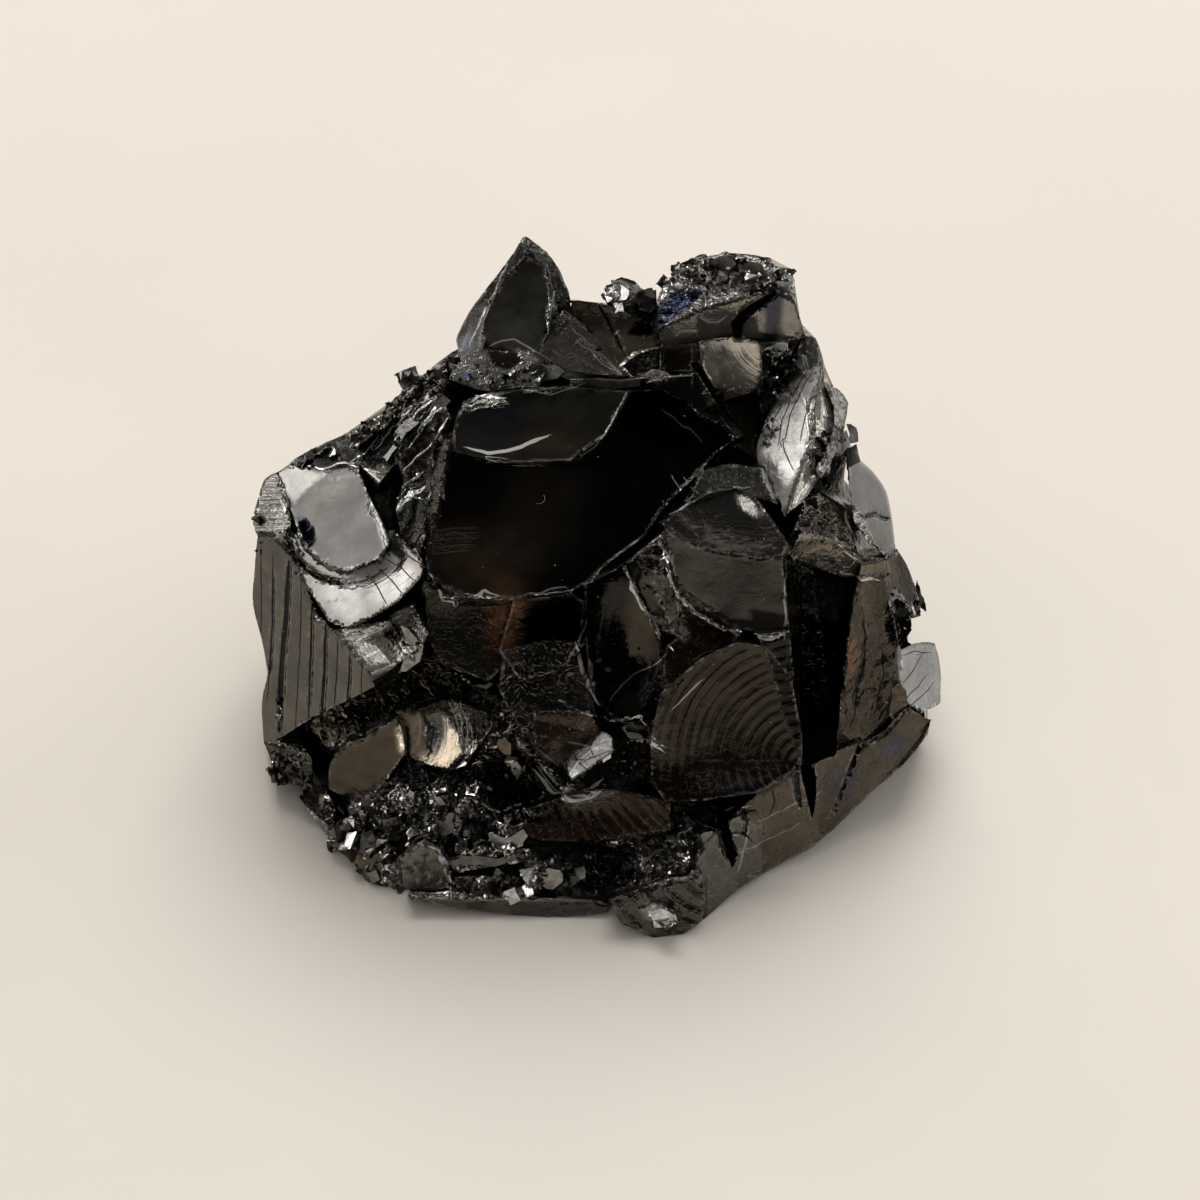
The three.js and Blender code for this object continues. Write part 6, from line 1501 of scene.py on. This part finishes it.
def grain_lumps(drop, draw, shapes, amount):
    """Grains stuck all over the crumbled places: the dark ones, and the bright ones, which are painted as glints."""
    lumps, glints = [], []
    for across, up, wide, high, count, small, large, bright in GRAINS:
        for _ in range(int(count * amount)):
            angle, far = draw.uniform(0, math.tau), math.sqrt(draw.uniform())
            place, normal = drop(across + math.cos(angle) * far * wide, up + math.sin(angle) * far * high)
            if place is None:
                continue
            size = (small + (large - small) * draw.uniform() ** 3) * (1 - 0.3 * far)
            stretch = np.diag(draw.uniform(0.55, 1.25, 3))
            lump = (draw.integers(shapes), stretch @ any_turn(draw) * size, place + normal * size * 0.15)
            (glints if draw.uniform() < bright else lumps).append(lump)
    return lumps, glints


def chip_lumps(drop, draw, shapes):
    """Little chips in a row along the edges that shine."""
    lumps = []
    for widest, *ends in CHIPPED:
        line = pairs(ends)
        for start, end in zip(line[:-1], line[1:]):
            run = np.linalg.norm(end - start)
            along = (end - start) / run
            far = 0.0
            while far < run:
                width = widest * draw.uniform(0.35, 1.0)
                beside = draw.normal() * widest * 0.28
                across, up = start + along * far + np.array([-along[1], along[0]]) * beside
                place, normal = drop(across, up)
                if place is not None:
                    ahead = along[0] * ACROSS + along[1] * UP
                    side = np.cross(normal, ahead)
                    axes = np.stack([ahead * draw.uniform(1.0, 2.4), side * 0.6, normal * 0.55]) * width
                    lumps.append((draw.integers(shapes), axes, place))
                far += width * draw.uniform(0.7, 1.5)
    return lumps


def flake_mesh(drop, flakes):
    """Flat-topped flakes with ragged outlines, set into the surface, each leaning its own way."""
    points, faces = [], []
    draw = np.random.default_rng(17)
    for flake in flakes:
        aim, lift, outline = flake[:2], flake[2], pairs(flake[3:])
        runs = np.roll(outline, -1, 0) - outline
        aside = runs[:, ::-1] * (-1, 1) * draw.uniform(-0.16, 0.16, (len(runs), 1))
        between = outline + runs * draw.uniform(0.3, 0.7, (len(runs), 1)) + aside
        outline = np.stack([outline, between], 1).reshape(-1, 2)
        ahead = np.roll(outline, -1, 0)
        if np.sum(outline[:, 0] * ahead[:, 1] - outline[:, 1] * ahead[:, 0]) < 0:
            outline = outline[::-1]
        found = [place for place, _ in (drop(across, up) for across, up in outline) if place is not None]
        if not found:
            continue
        level = np.median(on_slope(np.array(found))[:, 2]) + lift
        middle = outline.mean(0)
        top = np.column_stack([outline, level + (outline - middle) @ np.array(aim)])
        foot = np.column_stack([middle + (outline - middle) * 0.9, np.full(len(outline), level - 1.4)])
        start, count = len(points), len(outline)
        points += [off_slope(corner) for corner in np.concatenate([top, foot])]
        faces.append([start + i for i in range(count)])
        faces.append([start + count + i for i in reversed(range(count))])
        for i in range(count):
            j = (i + 1) % count
            faces.append([start + j, start + i, start + count + i, start + count + j])
    return as_mesh(above_floor(np.array(points)), faces)


def fibre_mesh(drop):
    """Thin curled hairs of dust lying on the glassy face."""
    points, faces = [], []
    for across, up, way, length, curl in FIBRES:
        way = math.radians(way)
        ring = len(points)
        count = 14
        for i in range(count):
            place, normal = drop(across, up)
            lift = place + normal * (0.05 + 0.12 * math.sin(math.pi * i / (count - 1)))
            ahead = math.cos(way) * ACROSS + math.sin(way) * UP
            side = np.cross(normal, ahead)
            for corner in range(3):
                turn = math.tau * corner / 3
                points.append(lift + 0.028 * (math.cos(turn) * side + math.sin(turn) * normal))
            across += math.cos(way) * length / count
            up += math.sin(way) * length / count
            way += math.radians(curl)
        for i in range(count - 1):
            for corner in range(3):
                a, b = ring + i * 3 + corner, ring + i * 3 + (corner + 1) % 3
                faces.append([a, b, b + 3, a + 3])
        faces += [[ring + 2, ring + 1, ring], [ring + count * 3 - 3, ring + count * 3 - 2, ring + count * 3 - 1]]
    return as_mesh(points, faces)


# ---- What a user may change ----


class StoneForm(bpy.types.PropertyGroup):
    """How finely and how strongly the stone's surface is worked."""

    grid_depth: IntProperty(name="Grid depth", description="How finely the surface is divided", default=8, min=6,
                            max=9)
    rounds: IntProperty(name="Planing rounds", description="How long each break is evened out", default=150, min=0)
    triangles: IntProperty(name="Triangles", description="The most triangles that the stone keeps", default=194000)
    swell: FloatProperty(name="Swell", description="Strength of the gentle rise and fall of each break", default=1.0)
    crumb: FloatProperty(name="Crumb size", description="Size of the crumbs in crumbled places, in millimetres",
                         default=1.25)
    chip: FloatProperty(name="Edge chips", description="Depth of the chips along edges, in millimetres", default=0.28)
    grains: FloatProperty(name="Grains", description="How many grains there are, against the usual number",
                          default=1.0, min=0)


class StoneFinish(bpy.types.PropertyGroup):
    """The stone's colours and gloss."""

    polish: FloatProperty(name="Polish", description="Roughness of a clean break", default=0.07)
    smear: FloatProperty(name="Smears", description="Extra roughness in smeared patches", default=0.10)
    film_rough: FloatProperty(name="Film roughness", description="Extra roughness under dull film", default=0.26)
    glint: FloatProperty(name="Glint", description="How much brighter the brightest little facets are", default=2.2)
    dust: FloatProperty(name="Dust", description="Share of places with a speck of dust", default=0.05)
    dust_colour: FloatVectorProperty(name="Dust colour", description="Colour of the dust", subtype="COLOR",
                                     default=(0.30, 0.28, 0.24))
    facet: FloatProperty(name="Facet size", description="Size of the tiny facets in crumbled places, in millimetres",
                         default=1.25)
    facet_turn: FloatProperty(name="Facet turn", description="How far the tiny facets turn", default=0.9)


class StageSettings(bpy.types.PropertyGroup):
    """The floor, the light and the camera."""

    floor: FloatVectorProperty(name="Floor", description="Colour of the floor", subtype="COLOR",
                               default=(0.66, 0.615, 0.555))
    sky: FloatProperty(name="Room light", description="Strength of the even light on matte surfaces", default=0.4)
    window: FloatProperty(name="Window", description="Brightness of the window on the left", default=4.0)
    back: FloatProperty(name="Back wall", description="Brightness of the pale wall behind", default=0.55)
    right: FloatProperty(name="Right wall", description="Brightness of the pale wall on the right", default=1.6)
    above: FloatProperty(name="Light from above", description="Light that only matte surfaces show", default=4.3)
    ceiling: FloatProperty(name="Ceiling", description="Brightness of the dim ceiling", default=0.05)
    away: FloatProperty(name="Camera distance", description="From the stone to the camera", default=1.5,
                        subtype="DISTANCE", unit="LENGTH")
    width: FloatProperty(name="View width", description="What the camera sees across", default=0.120,
                         subtype="DISTANCE", unit="LENGTH")


# ---- Operators ----


class SHUNGITE_OT_stone(bpy.types.Operator):
    """Makes the stone with its breaks, ripples, chips and crumbs"""

    bl_idname = "shungite.stone"
    bl_label = "Stone"

    def execute(self, context):
        form = context.scene.shungite_form
        places, faces, sides = gridded("stone", form.grid_depth)
        places = levelled(planed(places, faces, sides, form.rounds), faces)
        normals, rise = relief(places, faces, form)
        places = places + normals * rise[:, None]
        low, high = np.array(CAD_BOX[0]) / MM, np.array(CAD_BOX[1]) / MM
        places = np.clip(places, low, high)
        shown = on_show(on_slope(places), normals)
        finish = polished_shungite(context.scene.shungite_finish)
        piece = as_piece("shungite_stone", as_mesh(places, faces), finish)
        thinned(piece, np.where(shown, 1.0, 0.0), form.triangles)
        piece.data.shade_smooth()
        piece.data.set_sharp_from_angle(angle=math.radians(32))
        paint(piece.data)
        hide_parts("stone")
        return {"FINISHED"}


class SHUNGITE_OT_grains(bpy.types.Operator):
    """Sets grains on the crumbled places and chips along the edges that shine, the chips and bright grains painted
    near-white as glints
    """

    bl_idname = "shungite.grains"
    bl_label = "Grains and Chips"

    def execute(self, context):
        form, finish = context.scene.shungite_form, context.scene.shungite_finish
        draw = np.random.default_rng(11)
        shapes = shard_shapes(24, draw)
        drop = surface_finder(bpy.data.objects["shungite_stone"])
        grains, glints = grain_lumps(drop, draw, len(shapes), form.grains)
        as_piece("crushed_grains", strewn(shapes, grains),
                 crushed_shungite(finish, "crushed_shungite", TONES["glass"], 0.08, (0.2, 2.0), 0.2))
        # The chips and the bright grains share a near-white tone: painted glints.
        chips = chip_lumps(drop, draw, len(shapes)) + glints
        as_piece("chipped_edges", strewn(shapes, chips),
                 crushed_shungite(finish, "chipped_shungite", TONES["white"], 0.16, (0.35, 1.5), 0.3))
        # Silver and white flakes mirror far more than the stone: painted glints.
        for tone, flakes in FLAKES.items():
            as_piece(tone + "_flakes", flake_mesh(drop, flakes),
                     crushed_shungite(finish, tone + "_flake", TONES[tone], 0.10, (0.75, 1.3), 0.45))
        return {"FINISHED"}


class SHUNGITE_OT_fibres(bpy.types.Operator):
    """Lays a few dusty fibres on the glassy face"""

    bl_idname = "shungite.fibres"
    bl_label = "Dust Fibres"

    def execute(self, context):
        drop = surface_finder(bpy.data.objects["shungite_stone"])
        as_piece("dust_fibres", fibre_mesh(drop), pale_fibre())
        return {"FINISHED"}


def soft_light(name, way, distance, width, height, brightness, colour):
    """A large soft light that faces the stone. Way is round from the left to the back, and up, in degrees."""
    light = bpy.data.lights.new(name, "AREA")
    light.shape = "RECTANGLE"
    light.size, light.size_y = width, height
    light.energy = brightness * 4 * width * height  # watts, for the same brightness at any size
    light.color = colour
    lamp = bpy.data.objects.new(name, light)
    round_, up = math.radians(way[0]), math.radians(way[1])
    out = Vector((-math.cos(round_) * math.cos(up), math.sin(round_) * math.cos(up), math.sin(up)))
    lamp.location = out * distance + Vector((0, 0, MIDDLE[2] * MM))
    lamp.rotation_euler = out.to_track_quat("Z", "Y").to_euler()
    lamp.visible_camera = False
    bpy.context.scene.collection.objects.link(lamp)
    return lamp


class SHUNGITE_OT_stage(bpy.types.Operator):
    """Sets the floor, the light and the camera"""

    bl_idname = "shungite.stage"
    bl_label = "Stage"

    def execute(self, context):
        scene, stage = context.scene, context.scene.shungite_stage
        side = 2.5
        mesh = bpy.data.meshes.new("floor")
        mesh.from_pydata([(-side, -side, 0), (side, -side, 0), (side, side, 0), (-side, side, 0)], [], [(0, 1, 2, 3)])
        mesh.materials.append(pale_floor(stage.floor))
        floor = bpy.data.objects.new("floor", mesh)
        scene.collection.objects.link(floor)

        world = bpy.data.worlds.new("room")
        world.use_nodes = True
        world.node_tree.nodes["Background"].inputs["Color"].default_value = (1.0, 0.985, 0.96, 1)
        world.node_tree.nodes["Background"].inputs["Strength"].default_value = stage.sky
        world.cycles_visibility.glossy = False
        scene.world = world
        window = soft_light("window", (20, 28), 1.6, 1.1, 1.05, stage.window, (1.0, 0.98, 0.95))
        glow = soft_light("window_glow", (20, 28), 1.7, 1.9, 1.9, stage.window * 0.12, (1.0, 0.98, 0.95))
        haze = soft_light("window_haze", (22, 32), 1.8, 3.0, 2.8, stage.window * 0.03, (1.0, 0.98, 0.95))
        window.visible_diffuse = glow.visible_diffuse = haze.visible_diffuse = False
        soft_light("back_wall", (85, 36), 1.8, 2.4, 0.9, stage.back, (1.0, 0.97, 0.92))
        soft_light("right_wall", (162, 18), 1.6, 1.2, 1.2, stage.right, (0.97, 0.98, 1.0))
        soft_light("ceiling", (90, 82), 2.0, 3.2, 3.2, stage.ceiling, (1.0, 0.98, 0.95))
        above = soft_light("sky", (92, 52), 1.9, 1.5, 1.5, stage.above, (1.0, 0.98, 0.95))
        above.visible_glossy = False

        lens = bpy.data.cameras.new("camera")
        lens.sensor_width = 36
        lens.lens = 36 * stage.away / stage.width
        lens.clip_end = 10
        camera = bpy.data.objects.new("camera", lens)
        target = Vector((MIDDLE - UP) * MM)
        camera.location = target + Vector(OUT) * stage.away
        camera.rotation_euler = Vector(OUT).to_track_quat("Z", "Y").to_euler()
        scene.collection.objects.link(camera)
        scene.camera = camera
        scene.view_settings.view_transform = "Standard"
        return {"FINISHED"}


class SHUNGITE_PT_panel(bpy.types.Panel):
    """The stone's pieces and settings"""

    bl_idname = "SHUNGITE_PT_panel"
    bl_label = "Shungite Stone"
    bl_space_type = "VIEW_3D"
    bl_region_type = "UI"
    bl_category = "Shungite"

    def draw(self, context):
        column = self.layout.column()
        for maker in (SHUNGITE_OT_stone, SHUNGITE_OT_grains, SHUNGITE_OT_fibres, SHUNGITE_OT_stage):
            column.operator(maker.bl_idname)
        for settings in (context.scene.shungite_form, context.scene.shungite_finish, context.scene.shungite_stage):
            for name in settings.bl_rna.properties.keys():
                if name not in ("name", "rna_type"):
                    column.prop(settings, name)


CLASSES = (StoneForm, StoneFinish, StageSettings, SHUNGITE_OT_stone, SHUNGITE_OT_grains, SHUNGITE_OT_fibres,
           SHUNGITE_OT_stage, SHUNGITE_PT_panel)


def register():
    for cls in CLASSES:
        bpy.utils.register_class(cls)
    bpy.types.Scene.shungite_form = PointerProperty(type=StoneForm)
    bpy.types.Scene.shungite_finish = PointerProperty(type=StoneFinish)
    bpy.types.Scene.shungite_stage = PointerProperty(type=StageSettings)


def unregister():
    del bpy.types.Scene.shungite_stage
    del bpy.types.Scene.shungite_finish
    del bpy.types.Scene.shungite_form
    for cls in reversed(CLASSES):
        bpy.utils.unregister_class(cls)


def main():
    register()
    bpy.ops.shungite.stage()
    bpy.ops.shungite.stone()
    bpy.ops.shungite.grains()
    bpy.ops.shungite.fibres()


if __name__ == "__main__":
    main()
